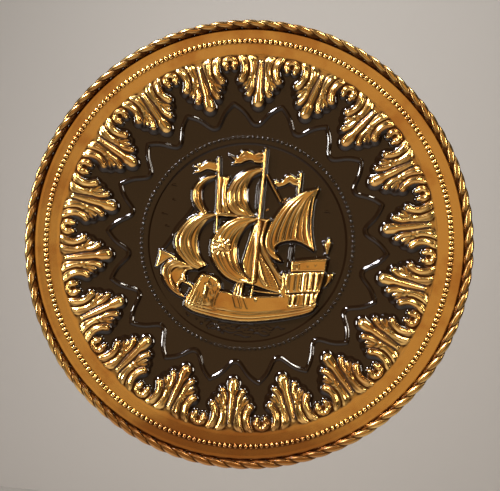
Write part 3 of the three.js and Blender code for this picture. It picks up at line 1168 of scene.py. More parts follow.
    folds: tuple[Stroke, ...] = (
        Stroke([(-25, 50), (-24.6, 36), (-24.4, 22)], 0.9, 0.3),
        Stroke([(-21.4, 51), (-22, 40), (-20.6, 30), (-17, 23)], 1.5, 1.0),
        Stroke([(-23.4, 51), (-23.6, 36), (-22.6, 22)], 0.4, -0.4),
        Stroke([(15.4, 18.5), (13.4, 10), (12.5, 3), (13.8, -3), (18, -9.5), (24, -18.5),
                (30.8, -26.8)], 1.0, 1.5),
        Stroke([(10.3, -3), (15, -11.4), (22, -21), (30.4, -35)], 0.7, -1.2, (0.5, 0.5)),
        Stroke([(10.9, 18), (10.6, 6), (11.2, -4), (16, -11), (23, -20.4), (31, -32)], 0.6, 0.5),
        Stroke([(10.9, -14), (12.6, -22), (15.4, -29), (19, -34.4)], 1.0, 1.1, (0.4, 0.7)),
        Stroke([(-2, -31.2), (8, -33.8), (20, -36.8), (31, -38.2)], 0.75, 1.1),
        Stroke([(9, -39), (20, -39.6), (31, -39.6)], 0.5, 0.5, base=2.6, gilt=0.9),
        Stroke([(6.9, 16), (3, 0), (-0.9, -17)], 0.5, 0.7),
        Stroke([(7.1, 16), (4.8, -4), (2, -25)], 0.45, 0.6),
        Stroke([(7.3, 16), (6.2, -6), (5, -29)], 0.45, 0.6),
        Stroke([(7.4, 12), (7.2, -8), (6.8, -30)], 0.5, 0.6),
        Stroke([(-18, -35.6), (-17.8, -39.6), (-21, -46), (-22.6, -54)], 0.8, 0.8),
        Stroke([(-29.6, -36), (-30, -43), (-33, -50)], 0.9, 0.8),
        Stroke([(-34.6, -30), (-27, -30.6), (-20, -34)], 0.7, 0.5),
        Stroke([(-52, -43), (-57, -38), (-60, -31), (-57, -26), (-50, -22.6)], 0.7, -0.6),
    )

    stay_lines: tuple[Points, ...] = (
        ((12.2, -12), (22.6, -35.4)), ((13.4, -12), (25.6, -35.6)), ((14.4, -13.4), (28.4, -36)),
    )
    ladders: tuple[Points, ...] = (
        ((-6.6, -45.2), (-3.6, -53.4)), ((-2.4, -45.6), (0.6, -53.4)), ((1.6, -45), (5.6, -53.6)),
    )
    sunburst: tuple[float, float] = (-20.0, -5.6)
    rays: int = 12
    ray_reach: tuple[float, float] = (6.8, 8.4)
    sun_patch: tuple[float, float] = (5.0, 9.5)
    bow_ribs: tuple[Points, ...] = (
        ((-44.6, -54.0), (-42.2, -55.6), (-39.6, -56.4), (-37.0, -56.8), (-34.4, -56.8), (-31.8, -56.4)),
        ((-42.4, -46.0), (-39.4, -47.6), (-36.8, -48.0), (-34.6, -48.0), (-33.0, -47.6), (-30.2, -46.6)),
        ((-38.6, -38.0), (-36.0, -38.6), (-34.4, -38.0), (-33.0, -38.0), (-31.2, -37.6), (-29.0, -36.0)),
        ((-34.4, -30.8), (-32.6, -30.2), (-31.2, -30.2), (-29.6, -30.6), (-28.4, -30.8), (-27.0, -31.0)),
    )
    bow_curls: tuple[tuple[float, float, float], ...] = (
        (-26.6, -37.4, 2.4), (-24.0, -43.4, 2.1), (-27.4, -50.0, 2.3), (-22.4, -35.4, 1.6),
    )
    stern_rails: tuple[Points, ...] = (
        ((38.5, -20.4), (52, -18.7), (65.6, -17.4)),
        ((38.6, -13.4), (46, -11.6), (56, -9.8), (66, -8.8)),
        ((35.4, -23.2), (41, -21.9), (52, -20.8), (65, -19.6)),
        ((37.6, -38.2), (50, -36.2), (62.4, -35.2)),
        ((38.4, -49.2), (48, -48.2), (57, -45.6), (61.4, -36.6)),
        ((65.9, -9), (65, -18), (63.8, -27), (61.8, -36), (60, -42)),
    )
    stern_door: Points = ((39, -14.6), (43.8, -13.6), (44, -18.8), (39.2, -19.6), (39, -14.6))
    stern_gaps: tuple[Points, ...] = (
        ((36, -39.2), (50, -37), (62, -36)),
        ((36, -22), (52, -20.1), (65, -18.9)),
    )
    stern_panels: tuple[tuple[float, float, float, float], ...] = (
        (36.4, 64.6, -22.6, -36.0), (38.4, 60.6, -39.6, -47.6),
    )
    stern_columns: tuple[tuple[float, float, float, float], ...] = (
        (38.8, -24.0, -36.6, 0.8), (43.8, -23.2, -35.8, 1.1), (49.2, -22.6, -35.0, 0.8),
        (54.4, -22.0, -34.4, 0.8), (59.6, -21.2, -34.0, 0.75), (42.4, -40.6, -47.6, 0.7),
        (47.6, -39.8, -47.2, 0.7), (52.6, -39.2, -46.4, 0.7), (57.2, -38.6, -45.0, 0.65),
    )
    stern_bosses: Points = ((57.6, -14), (51.4, -15.4))
    sea_rows: tuple[float, float] = (-66.6, 2.3)
    sea_reach: float = 76.0

    def lay(self, relief: ReliefField) -> None:
        """Lays the whole ship and its sea on the medallion.

        Args:
            relief: the raster it is laid on.
        """
        for sheet in (self.fore_course, self.fore_topsail, self.lateen):
            relief.sheet(sheet)
        relief.plate(self.back_cloth)
        relief.plate(self.stay_cloth)
        relief.plate(self.shroud_fan)
        for sheet in (self.main_topsail, self.main_course, self.spritsail, *self.pennants, self.hull):
            relief.sheet(sheet)
        for plate in (self.bow_flag, self.forecastle, *self.stern_tiers):
            relief.plate(plate)
        for stroke in (*self.spars, *self.folds):
            relief.stroke(stroke)
        self.lay_ropes(relief)
        self.lay_sunburst(relief)
        self.lay_forecastle(relief)
        self.lay_stern(relief)
        self.lay_hull(relief)
        self.lay_sea(relief)

    def lay_ropes(self, relief: ReliefField) -> None:
        """Knots on the shrouds and stays, posts on the rail under them, and small bosses on the yards.

        Args:
            relief: the raster it is laid on.
        """
        for foot in ((0.6, -21), (3.6, -27), (5.9, -30)):
            relief.dots([(6.9, 8), foot], 1.9, 0.55, 0.45)
        for head, foot in self.stay_lines:
            relief.dots([head, foot], 2.1, 0.7, 0.75)
        for x, top, lean in ((-4.3, -33.4, -1.9), (-2, -33.8, -1.6), (0, -34.2, -0.9), (8.4, -36, -0.8)):
            post = [(x, top), (x + lean, -43.6)]
            relief.stroke(Stroke(post, 0.75, 0.8, (1.0, 1.0), 2.4, 1.0))
        for spot in ((27, 35), (28, 37.6), (14, 27.5), (-45, 60.6)):
            relief.dots([spot, (spot[0] + 1.4, spot[1] + 0.9)], 1.6, 0.8, 0.9, 0.9)

    def lay_sunburst(self, relief: ReliefField) -> None:
        """A plain sunburst on a smoothed patch of the main course: a boss, and rays long and short.

        Args:
            relief: the raster it is laid on.
        """
        middle = np.array(self.sunburst)
        at = relief.window(middle[None, :], self.sun_patch[1] + 1.5)
        away = np.hypot(relief.x[at] - middle[0], relief.z[at] - middle[1])
        near = 1 - smooth_step(away, *self.sun_patch)
        near = near * smooth_step(relief.gilt[at], 0.5, 1.0)
        relief.height[at] += near * (blurred(relief.height[at], 5) - relief.height[at]) * 0.8
        for ray in range(self.rays):
            swing = TURN * (ray + 0.5) / self.rays
            way = np.array([math.sin(swing), math.cos(swing)])
            ends = [tuple(middle + way * 2.0), tuple(middle + way * self.ray_reach[ray % 2])]
            relief.stroke(Stroke(ends, 0.66, 1.15, (1.0, 0.45)))
        relief.dots([self.sunburst, (middle[0] + 0.1, middle[1])], 1.0, 1.9, 1.1)

    def lay_forecastle(self, relief: ReliefField) -> None:
        """Carved work over the bow: bent ribs in fan order, and curls behind them.

        Args:
            relief: the raster it is laid on.
        """
        for rib in zip(*self.bow_ribs):
            relief.stroke(Stroke(rib, 0.85, 0.75, (0.8, 0.5)))
        for x, z, reach in self.bow_curls:
            turns = np.linspace(0.4, TURN * 0.86, 9)
            shrink = reach * (1 - 0.07 * np.arange(9))
            curl = np.stack([x + shrink * np.sin(turns), z + shrink * np.cos(turns)], axis=1)
            relief.stroke(Stroke(curl, 0.7, 0.6, (0.9, 0.7)))

    def lay_stern(self, relief: ReliefField) -> None:
        """Rails, window frames, sunk panels and the columns between them on the stern castle.

        Args:
            relief: the raster it is laid on.
        """
        for rail in (*self.stern_rails, *zip(self.stern_door[:-1], self.stern_door[1:])):
            relief.stroke(Stroke(rail, 0.6, 0.6, (1.0, 1.0)))
        for gap in self.stern_gaps:
            relief.stroke(Stroke(gap, 0.45, -0.9, (1.0, 1.0)))
        for left, right, high, low in self.stern_panels:
            for share in np.linspace(0.08, 0.92, 6):
                x = left + (right - left) * share
                rise = 2.6 * share
                panel = [(x, high + rise), (x - 0.5, low + 0.8 * rise)]
                relief.stroke(Stroke(panel, 1.5, -0.9, (0.9, 0.9)))
        for x, top, low, half in self.stern_columns:
            relief.stroke(Stroke([(x, top), (x - 0.4, low)], half, 1.1, (0.9, 0.9)))
        for x, z in self.stern_bosses:
            relief.dots([(x, z), (x + 0.1, z + 0.9)], 0.9, 0.7, 0.5)

    def lay_hull(self, relief: ReliefField) -> None:
        """Ladders and a gun port on the hull's plain side, and seams between the wales below it.

        Args:
            relief: the raster it is laid on.
        """
        for seam_line in self.hull_seams:
            relief.stroke(Stroke(seam_line, 0.62, -0.95, (0.8, 0.8)))
        for ladder in self.ladders:
            relief.stroke(Stroke(ladder, 0.55, 0.6, (1.0, 1.0)))
        for rung in range(4):
            z = -46.8 - 1.9 * rung
            left = -6.2 + 0.7 * rung
            relief.stroke(Stroke([(left, z), (left + 4.4, z - 0.2)], 0.4, 0.35))
        relief.dots([(11.6, -45.4), (11.8, -46.6)], 1.2, 0.85, 0.8)

    def lay_sea(self, relief: ReliefField) -> None:
        """Waves and spray below the hull, a rope's tail and faint clouds, all under the enamel.

        Args:
            relief: the raster it is laid on.
        """
        draw = np.random.default_rng(7)
        for row in range(5):
            z = self.sea_rows[0] - self.sea_rows[1] * row
            width = math.sqrt(max(self.sea_reach**2 - z**2, 0.0)) * 0.86
            x = -width + draw.uniform(0, 4)
            while x < width:
                length = draw.uniform(7, 15)
                crest, tail = draw.uniform(0.5, 1.3), draw.uniform(0.1, 0.9)
                line = [(x, z), (x + length * 0.3, z + crest), (x + length * 0.65, z - 0.5),
                        (x + length, z + tail)]
                relief.stroke(Stroke(line, 0.75, 0.55, (0.3, 0.3)))
                x += length * draw.uniform(0.75, 1.1)
        for _ in range(30):
            x = draw.uniform(-52, -12)
            z = -57.5 - 0.28 * (x + 52) - draw.uniform(2, 9)
            if math.hypot(x, z) < self.sea_reach + 1:
                relief.dots([(x, z), (x + 0.6, z + 0.3)], 1.4, draw.uniform(0.45, 0.8), 0.7)
        for x, z, length in ((-66, 42, 5), (-72, 18, 6), (-64, 30, 3), (60, 30, 7), (-68, 8, 4)):
            cloud = [(x, z), (x + length * 0.5, z + 0.7), (x + length, z - 0.3)]
            relief.stroke(Stroke(cloud, 0.8, 0.4, (0.3, 0.3)))
        relief.stroke(Stroke([(-2.6, -71), (0, -69), (3, -67.6)], 0.5, 0.7, (0.4, 0.4)))
        for x, z in ((39.6, 1.4), (36.8, 1.6), (62.2, 5.8), (31.8, -21.8), (64.4, -4.6)):
            relief.dots([(x, z), (x + 0.1, z + 0.1)], 1.0, 0.8, 1.0, 0.35)


@dataclass
class Medallion(SheetPart):
    """The disc that carries the ship, and the moulded ring round it.

    Attributes:
        radius: the disc's, tucked under the ring.
        ground: height of its flat.
        steps: squares along one side of the disc's grid.
        square: the grid's shape: its scale in the middle, and where it begins to round off.
        raster: distance between the samples that the ship is laid on.
        soften: samples over which the ship is softened.
        hollow_reach: samples over which a hollow is measured.
        hollows: how far a point lies under what is round it, from no painted shade to full painted shade.
        flat_edge: how far inside the radius the relief has gone, from all of it to none.
        ring: the ring's section as radius and height pairs.
        ring_grime: dirt on the ring.
    """

    radius: float = 80.6
    ground: float = 0.75
    steps: int = 276
    square: tuple[float, float] = (0.82, 0.35)
    raster: float = 0.3
    soften: int = 1
    hollow_reach: int = 4
    hollows: tuple[float, float] = (-0.1, 0.36)
    flat_edge: tuple[float, float] = (1.6, 0.6)
    ring: Points = (
        (79.4, 0.2), (80.7, 0.85), (81.2, 1.05), (82.4, 1.5), (84.0, 1.62), (87.0, 1.7), (89.6, 1.8),
        (90.6, 2.0), (91.4, 2.05), (92.4, 1.8),
    )
    ring_grime: float = 0.5
    ring_rows: int = 25
    ring_columns: int = 720

    def grid(self) -> tuple[Array, Array]:
        """A square grid bent to fill the disc: its middle stays square, and its edge is round.

        Returns:
            Its points' x and z, in rows and columns.
        """
        axis = np.linspace(-1, 1, self.steps + 1)
        u, v = np.meshgrid(axis, axis, indexing="ij")
        out = np.maximum(np.abs(u), np.abs(v))
        length = np.maximum(np.hypot(u, v), 1e-9)
        blend = smooth_step(out, self.square[1], 1.0)
        scale = (1 - blend) * self.square[0] + blend * out / length
        return u * scale * self.radius, v * scale * self.radius

    def disc(self) -> bpy.types.Object:
        """The disc with the ship on it.

        Returns:
            The piece.
        """
        relief = ReliefField(self.radius + 1, self.raster, self.ground)
        Ship().lay(relief)
        relief.height = blurred(relief.height, self.soften)
        # Shade is painted into the hollows of the ship: the further a point lies under its neighbours, the
        # darker it is.
        shade_and_dirt = smooth_step(blurred(relief.height, self.hollow_reach) - relief.height, *self.hollows)
        x, z = self.grid()
        layers = (relief.height, relief.gilt, shade_and_dirt)
        height, gilt, shade_and_dirt_mix = (relief.sampled(values, x, z) for values in layers)
        edge = smooth_step(np.hypot(x, z), *(self.radius - inset for inset in self.flat_edge))
        height = height * (1 - edge) + self.ground * edge
        return shell("ship_medallion", Skin(x, z, height, gilt, shade_and_dirt_mix, False))

    def border(self) -> bpy.types.Object:
        """The moulded ring, all under enamel, rising gently outwards under its beads to a low lip.

        Returns:
            The piece.
        """
        radius = np.linspace(self.ring[0][0], self.ring[-1][0], self.ring_rows)
        angle = np.arange(self.ring_columns) * TURN / self.ring_columns
        grid_r, grid_a = np.meshgrid(radius, angle, indexing="ij")
        height = np.interp(grid_r, *spline(self.ring).T)
        spots = grid_r * np.cos(grid_a), grid_r * np.sin(grid_a)
        return shell("medallion_ring", Skin(*spots, height, 0 * height, 0 * height + self.ring_grime, True))

    def build(self) -> list[bpy.types.Object]:
        """Makes the disc and its ring."""
        return [self.disc(), self.border()]


# ---- The rolled rope edge --------------------------------------------------------------------------


@dataclass
class RopeEdge(SheetPart):
    """The plaque's rolled edge, twisted like a rope of two strands, closed on itself.

    Attributes:
        radius: of the rope's middle, in plan.
        height: of its middle.
        bulges: bulges counted once round the plaque.
        strands: how many strands are twisted.
        crest: distance of a strand's crest from the rope's middle.
        groove: distance of a groove from it.
        fullness: below 1, the strands are full and their grooves narrow.
        steps: sections round the plaque.
        sides: of a section.
        groove_shade: painted shade in a groove.
        inner_side_shade: painted shade on the side that faces the band.
    """

    radius: float = 176.4
    height: float = 15.6
    bulges: int = 84
    strands: int = 2
    crest: float = 3.55
    groove: float = 2.2
    fullness: float = 0.6
    steps: int = 1344
    sides: int = 32
    groove_shade: float = 1.2
    inner_side_shade: float = 0.75

    def build(self) -> list[bpy.types.Object]:
        """Makes the rope as one closed tube.

        Returns:
            The one piece.
        """
        angle = np.arange(self.steps) * TURN / self.steps
        local = np.arange(self.sides) * TURN / self.sides
        grid_a, grid_s = np.meshgrid(angle, local, indexing="ij")
        swell = np.abs(np.cos(local * self.strands / 2)) ** self.fullness
        reach = np.tile(self.groove + (self.crest - self.groove) * swell, (self.steps, 1))
        grid_s = grid_s - grid_a * self.bulges / self.strands
        radius = self.radius + reach * np.cos(grid_s)
        height = self.height + reach * np.sin(grid_s)
        x, z = radius * np.cos(grid_a), radius * np.sin(grid_a)
        spots = np.stack([x.ravel(), -height.ravel(), z.ravel()], axis=1)
        at = np.arange(self.steps * self.sides).reshape(self.steps, self.sides)
        ahead = np.roll(at, -1, axis=0)
        # The last section meets the first one turned by the part of a turn that the twist has left over.
        turned = round(self.sides * ((self.bulges / self.strands) % 1))
        ahead[-1] = np.roll(at[0], -turned)
        corners = [at, np.roll(at, -1, axis=1), np.roll(ahead, -1, axis=1), ahead]
        faces = np.stack([c.ravel() for c in corners], axis=1)
        mesh = mesh_from("rope_edge", spots, [faces])
        # Shade is painted into the grooves and onto the side that faces the band.
        hollow = (self.crest - reach) / (self.crest - self.groove)
        inward = smooth_step(self.radius - radius, 0.6, 3.0)
        add_tint(mesh, "gilt", np.ones(spots.shape[0]))
        add_tint(mesh, "shade_and_dirt", np.clip(self.groove_shade * hollow + self.inner_side_shade * inward, 0, 1))
        return [placed("rope_edge", mesh)]


# ---- Bead rows, by Geometry Nodes ------------------------------------------------------------------


def add_node(
    tree: bpy.types.NodeTree,
    kind: str,
    inputs: dict[str | int, object] | None = None,
    settings: dict[str, object] | None = None,
) -> bpy.types.Node:
    """Adds a node.

    Args:
        tree: the tree it goes in.
        kind: its type.
        inputs: what feeds its inputs, by name or number: another node's output, or a plain value.
        settings: its own properties.

    Returns:
        The node.
    """
    node = tree.nodes.new(kind)
    for name, value in (settings or {}).items():
        setattr(node, name, value)
    for name, value in (inputs or {}).items():
        if isinstance(value, bpy.types.NodeSocket):
            tree.links.new(value, node.inputs[name])
        else:
            node.inputs[name].default_value = value
    return node


@dataclass
class BeadRow(SheetPart):
    """Small domes side by side round a circle.

    Attributes:
        name: the piece's name.
        count: how many.
        radius: of the circle.
        height: of the beads' middles.
        size: a bead's half widths across and along the row, and its half height.
        bare: how bare its foot and its crest are.
        vary: smallest and largest share of that size.
        segments: a bead's sides.
        rings: and its rings.
        seed: of the sizes.
    """

    name: str
    count: int
    radius: float
    height: float
    size: tuple[float, float, float]
    bare: tuple[float, float]
    vary: tuple[float, float] = (0.97, 1.03)
    segments: int = 12
    rings: int = 7
    seed: int = 5

    def tree(self) -> bpy.types.NodeTree:
        """Makes the nodes: a circle of points and a bead on each, set upright in the plan.

        Returns:
            The tree, with an input for each size and for the seed.
        """
        tree = bpy.data.node_groups.new(self.name + "_nodes", "GeometryNodeTree")
        face = tree.interface
        face.new_socket("Geometry", in_out="INPUT", socket_type="NodeSocketGeometry")
        kinds = {"Count": "Int", "Radius": "Float", "Height": "Float", "Bead size": "Vector", "Seed": "Int"}
        for name, kind in kinds.items():
            face.new_socket(name, in_out="INPUT", socket_type="NodeSocket" + kind)
        face.new_socket("Geometry", in_out="OUTPUT", socket_type="NodeSocketGeometry")
        ins = tree.nodes.new("NodeGroupInput").outputs
        circle = add_node(tree, "GeometryNodeMeshCircle",
                          {"Vertices": ins["Count"], "Radius": ins["Radius"]})
        bead = add_node(tree, "GeometryNodeMeshUVSphere",
                        {"Segments": self.segments, "Rings": self.rings, "Radius": 1.0})
        made = add_node(tree, "GeometryNodeSetShadeSmooth", {0: bead.outputs[0]}).outputs[0]
        spot = add_node(tree, "GeometryNodeInputPosition").outputs[0]
        parts = add_node(tree, "ShaderNodeSeparateXYZ", {0: spot}).outputs
        # Bareness climbs over most of the dome; the shade painted at its foot has gone at three quarters of
        # its height.
        for name, (low, high), (foot, crest) in (("gilt", (0.1, 0.9), self.bare),
                                                 ("shade_and_dirt", (0.0, 0.75), (1.0, 0.0))):
            share = add_node(tree, "ShaderNodeMapRange", {0: parts[2], 1: low, 2: high, 3: foot, 4: crest})
            made = add_node(tree, "GeometryNodeStoreNamedAttribute",
                            {"Geometry": made, "Name": name, "Value": share.outputs[0]}).outputs[0]
        turn = add_node(tree, "ShaderNodeMath", {0: parts[1], 1: parts[0]}, {"operation": "ARCTAN2"})
        facing = add_node(tree, "ShaderNodeCombineXYZ", {2: turn.outputs[0]})
        share = add_node(tree, "FunctionNodeRandomValue",
                         {2: self.vary[0], 3: self.vary[1], "Seed": ins["Seed"]}, {"data_type": "FLOAT"})
        size = add_node(tree, "ShaderNodeVectorMath", {0: ins["Bead size"], "Scale": share.outputs[1]},
                        {"operation": "SCALE"})
        beads = add_node(tree, "GeometryNodeInstanceOnPoints",
                         {"Points": circle.outputs[0], "Instance": made, "Rotation": facing.outputs[0],
                          "Scale": size.outputs[0]})
        lift = add_node(tree, "ShaderNodeCombineXYZ", {2: ins["Height"]})
        lifted = add_node(tree, "GeometryNodeTransform",
                          {"Geometry": beads.outputs[0], "Translation": lift.outputs[0]})
        upright = add_node(tree, "GeometryNodeTransform",
                           {"Geometry": lifted.outputs[0], "Rotation": (math.pi / 2, 0, 0)})
        real = add_node(tree, "GeometryNodeRealizeInstances", {0: upright.outputs[0]})
        worn = add_node(tree, "GeometryNodeSetMaterial",
                        {"Geometry": real.outputs[0], "Material": self.finish})
        add_node(tree, "NodeGroupOutput", {0: worn.outputs[0]})
        return tree

    def build(self) -> list[bpy.types.Object]:
        """Makes the row as one plain mesh.

        Returns:
            The one piece.
        """
        carrier = placed(self.name + "_carrier", bpy.data.meshes.new(self.name + "_carrier"))
        modifier = carrier.modifiers.new("beads", "NODES")
        modifier.node_group = self.tree()
        wanted = {
            "Count": self.count,
            "Radius": self.radius * MM,
            "Height": self.height * MM,
            "Bead size": tuple(half * MM for half in self.size),
            "Seed": self.seed,
        }
        for item in modifier.node_group.interface.items_tree:
            if item.in_out == "INPUT" and item.name in wanted:
                modifier[item.identifier] = wanted[item.name]
        graph = bpy.context.evaluated_depsgraph_get()
        mesh = bpy.data.meshes.new_from_object(carrier.evaluated_get(graph), depsgraph=graph)
        mesh.name = self.name
        carrier.modifiers.clear()
        bpy.data.objects.remove(carrier)
        return [placed(self.name, mesh)]


# ---- Finish ----------------------------------------------------------------------------------------


def linear(colour: str) -> tuple[float, float, float, float]:
    """An sRGB hex colour as Blender's linear one.

    Args:
        colour: a hash mark and six digits.

    Returns:
        Red, green, blue and full opacity.
    """
    parts = [int(colour[i : i + 2], 16) / 255 for i in (1, 3, 5)]
    made = [c / 12.92 if c <= 0.04045 else ((c + 0.055) / 1.055) ** 2.4 for c in parts]
    return (made[0], made[1], made[2], 1.0)


@dataclass(frozen=True)
class GildedEnamel:
    """Stamped copper-alloy sheet, half of it under baked black enamel and all of it under clear lacquer.

    Attributes:
        metal: the bare sheet on a crest.
        metal_warm: where it has reddened.
        shade: the dark brown painted into hollows, grooves and bead feet as shade with a little dirt, and
            into pits.
        tarnish: the blotches on its outer band, and the darker, redder tint towards the bottom of the rim.
        worn: enamel rubbed thin beside a crest.
        enamel: the black.
        metal_rough: roughness of polished metal, and of metal under the painted shade and dirt; the mottle
            adds to both.
        enamel_rough: that of whole enamel, and of rubbed enamel.
        clouds: size of the warm clouding in millimetres, and the detail in it.
        mottle: the same of the mottling that breaks up every edge.
        specks: the same of the tarnish spots and dents.
        bottom_tint_heights: heights in metres between which the metal turns darker and redder towards the
            bottom of the rim.
    """

    metal: str = "#E6BC71"
    metal_warm: str = "#CF9C59"
    shade: str = "#4A2A0E"
    tarnish: str = "#A06C3C"
    worn: str = "#4A3018"
    enamel: str = "#1A0F06"
    metal_rough: tuple[float, float] = (0.16, 0.42)
    enamel_rough: tuple[float, float] = (0.05, 0.28)
    clouds: tuple[float, float] = (30.0, 3.0)
    mottle: tuple[float, float] = (4.0, 4.0)
    specks: tuple[float, float] = (1.2, 2.0)
    bottom_tint_heights: tuple[float, float] = (-0.128, -0.162)

    def build(self) -> bpy.types.Material:
        """Makes the material.

        Lacquered brass-toned copper gives warm, slightly soft reflections; the baked enamel gives black
        ones with a hard white glint, and a brown worn line lies between the two.

        Returns:
            The material.
        """
        made = bpy.data.materials.new("lacquered_copper_and_black_enamel")
        made.use_nodes = True
        tree = made.node_tree
        tree.nodes.clear()
        spots = add_node(tree, "ShaderNodeTexCoord").outputs["Object"]
        upward = add_node(tree, "ShaderNodeSeparateXYZ", {0: spots}).outputs[2]
        layer = {}
        for name in ("gilt", "shade_and_dirt"):
            layer[name] = add_node(tree, "ShaderNodeAttribute",
                                   settings={"attribute_name": name}).outputs["Fac"]
        for name in ("clouds", "mottle", "specks"):
            size, detail = getattr(self, name)
            pattern = {"Vector": spots, "Scale": 1 / (size * MM), "Detail": detail, "Roughness": 0.6}
            layer[name] = add_node(tree, "ShaderNodeTexNoise", pattern).outputs["Fac"]
        # Darker and redder towards the bottom of the rim.
        down = {0: upward, 1: self.bottom_tint_heights[0], 2: self.bottom_tint_heights[1], 3: 0.0, 4: 1.0}
        layer["low"] = add_node(tree, "ShaderNodeMapRange", down).outputs[0]
        # Each broken-up layer is one layer with a share of another added.
        for name, first, second, share in (
            ("blotched", "clouds", "mottle", 0.35),
            ("clouded_low", "low", "clouds", 0.9),
            ("mottled_shade_and_dirt", "shade_and_dirt", "mottle", 0.12),
            ("edge", "gilt", "mottle", 0.1),
            ("dents", "mottle", "specks", 0.25),
        ):
            layer[name] = add_node(tree, "ShaderNodeMath", {0: layer[second], 1: share, 2: layer[first]},
                                   {"operation": "MULTIPLY_ADD"}).outputs[0]
        # Each step eases from 0 at low to most at high.
        for name, source, low, high, most in (
            ("warm", "clouds", 0.42, 0.68, 1.0),
            ("blotch", "blotched", 0.915, 1.095, 0.7),
            ("bottom_tint", "clouded_low", 0.55, 1.25, 0.85),
            ("shade_and_dirt_mix", "mottled_shade_and_dirt", 0.34, 0.94, 1.0),
            ("pits", "specks", 0.78, 0.84, 0.55),
            ("rubbed", "edge", 0.27, 0.57, 1.0),
            ("metallic", "edge", 0.41, 0.67, 1.0),
            ("covered", "edge", 0.47, 0.77, 1.0),
        ):
            step = {0: layer[source], 1: low, 2: high, 3: 0.0, 4: most}
            layer[name] = add_node(tree, "ShaderNodeMapRange", step,
                                   {"interpolation_type": "SMOOTHSTEP"}).outputs[0]
        layer |= {"bare": linear(self.metal), "dark": linear(self.enamel)}
        for name, share, second in (
            ("bare", "warm", linear(self.metal_warm)),
            ("bare", "blotch", linear(self.tarnish)),
            ("bare", "bottom_tint", linear(self.tarnish)),
            # Hollows, grooves and bead feet take the shade brown: painted shade, with a little dirt.
            ("bare", "shade_and_dirt_mix", linear(self.shade)),
            ("bare", "pits", linear(self.shade)),
            ("dark", "rubbed", linear(self.worn)),
        ):
            layer[name] = add_node(tree, "ShaderNodeMix", {0: layer[share], 6: layer[name], 7: second},
                                   {"data_type": "RGBA"}).outputs[2]
        colour = add_node(tree, "ShaderNodeMix", {0: layer["covered"], 6: layer["dark"], 7: layer["bare"]},
                          {"data_type": "RGBA"}).outputs[2]
        for name, share, (clean, soiled), spread in (
            ("rough_bare", "shade_and_dirt_mix", self.metal_rough, 0.08),
            ("rough_dark", "rubbed", self.enamel_rough, 0.05),
        ):
            smooth = add_node(tree, "ShaderNodeMix", {0: layer[share], 2: clean, 3: soiled}).outputs[0]
            layer[name] = add_node(tree, "ShaderNodeMath", {0: layer["mottle"], 1: spread, 2: smooth},
                                   {"operation": "MULTIPLY_ADD"}).outputs[0]
        rough = add_node(tree, "ShaderNodeMix",
                         {0: layer["covered"], 2: layer["rough_dark"], 3: layer["rough_bare"]}).outputs[0]
        dents = add_node(tree, "ShaderNodeBump",
                         {"Strength": 0.12, "Distance": 0.0002, "Height": layer["dents"]})
        shader = add_node(tree, "ShaderNodeBsdfPrincipled",
                          {"Base Color": colour, "Metallic": layer["metallic"], "Roughness": rough,
                           "Normal": dents.outputs[0], "Coat Weight": 0.1, "Coat Roughness": 0.05,
                           "Specular IOR Level": 0.45})
        add_node(tree, "ShaderNodeOutputMaterial", {"Surface": shader.outputs[0]})
        return made


@dataclass(frozen=True)
class PaleMatt:
    """Plain matt paint on the floor and the backdrop."""

    colour: str = "#D8D4CC"
    rough: float = 0.85

    def build(self) -> bpy.types.Material:
        """Makes the material; a broad soft white that shows no grain.

        Returns:
            The material.
        """
        made = bpy.data.materials.new("pale_matt_paint")
        made.use_nodes = True
        shader = made.node_tree.nodes["Principled BSDF"]
        shader.inputs["Base Color"].default_value = linear(self.colour)
        shader.inputs["Roughness"].default_value = self.rough
        return made


# ---- Studio ----------------------------------------------------------------------------------------


class Aim(Enum):
    """What a softbox is turned towards, as a point in metres."""

    PLAQUE = (0.0, 0.0, 0.0)
    BACKDROP = (0.0, 2.6, 0.2)


@dataclass(frozen=True)
class Softbox:
    """One area light.

    Attributes:
        name: its name.
        spot: its place in metres.
        size: its width and height in metres.
        power: in watts.
        tint: its colour.
        aim: what it is turned towards.
    """

    name: str
    spot: tuple[float, float, float]
    size: tuple[float, float]
    power: float
    tint: str = "#FFFFFF"
    aim: Aim = Aim.PLAQUE

    def hang(self) -> None:
        """Puts the light in the scene."""
        lamp = bpy.data.lights.new(self.name, "AREA")
        lamp.shape = "RECTANGLE"
        lamp.size, lamp.size_y = self.size
        lamp.energy = self.power
        lamp.color = linear(self.tint)[:3]
        lit = bpy.data.objects.new(self.name, lamp)
        lit.location = self.spot
        lit.rotation_euler = (Vector(self.aim.value) - lit.location).to_track_quat("-Z", "Y").to_euler()
        bpy.context.scene.collection.objects.link(lit)


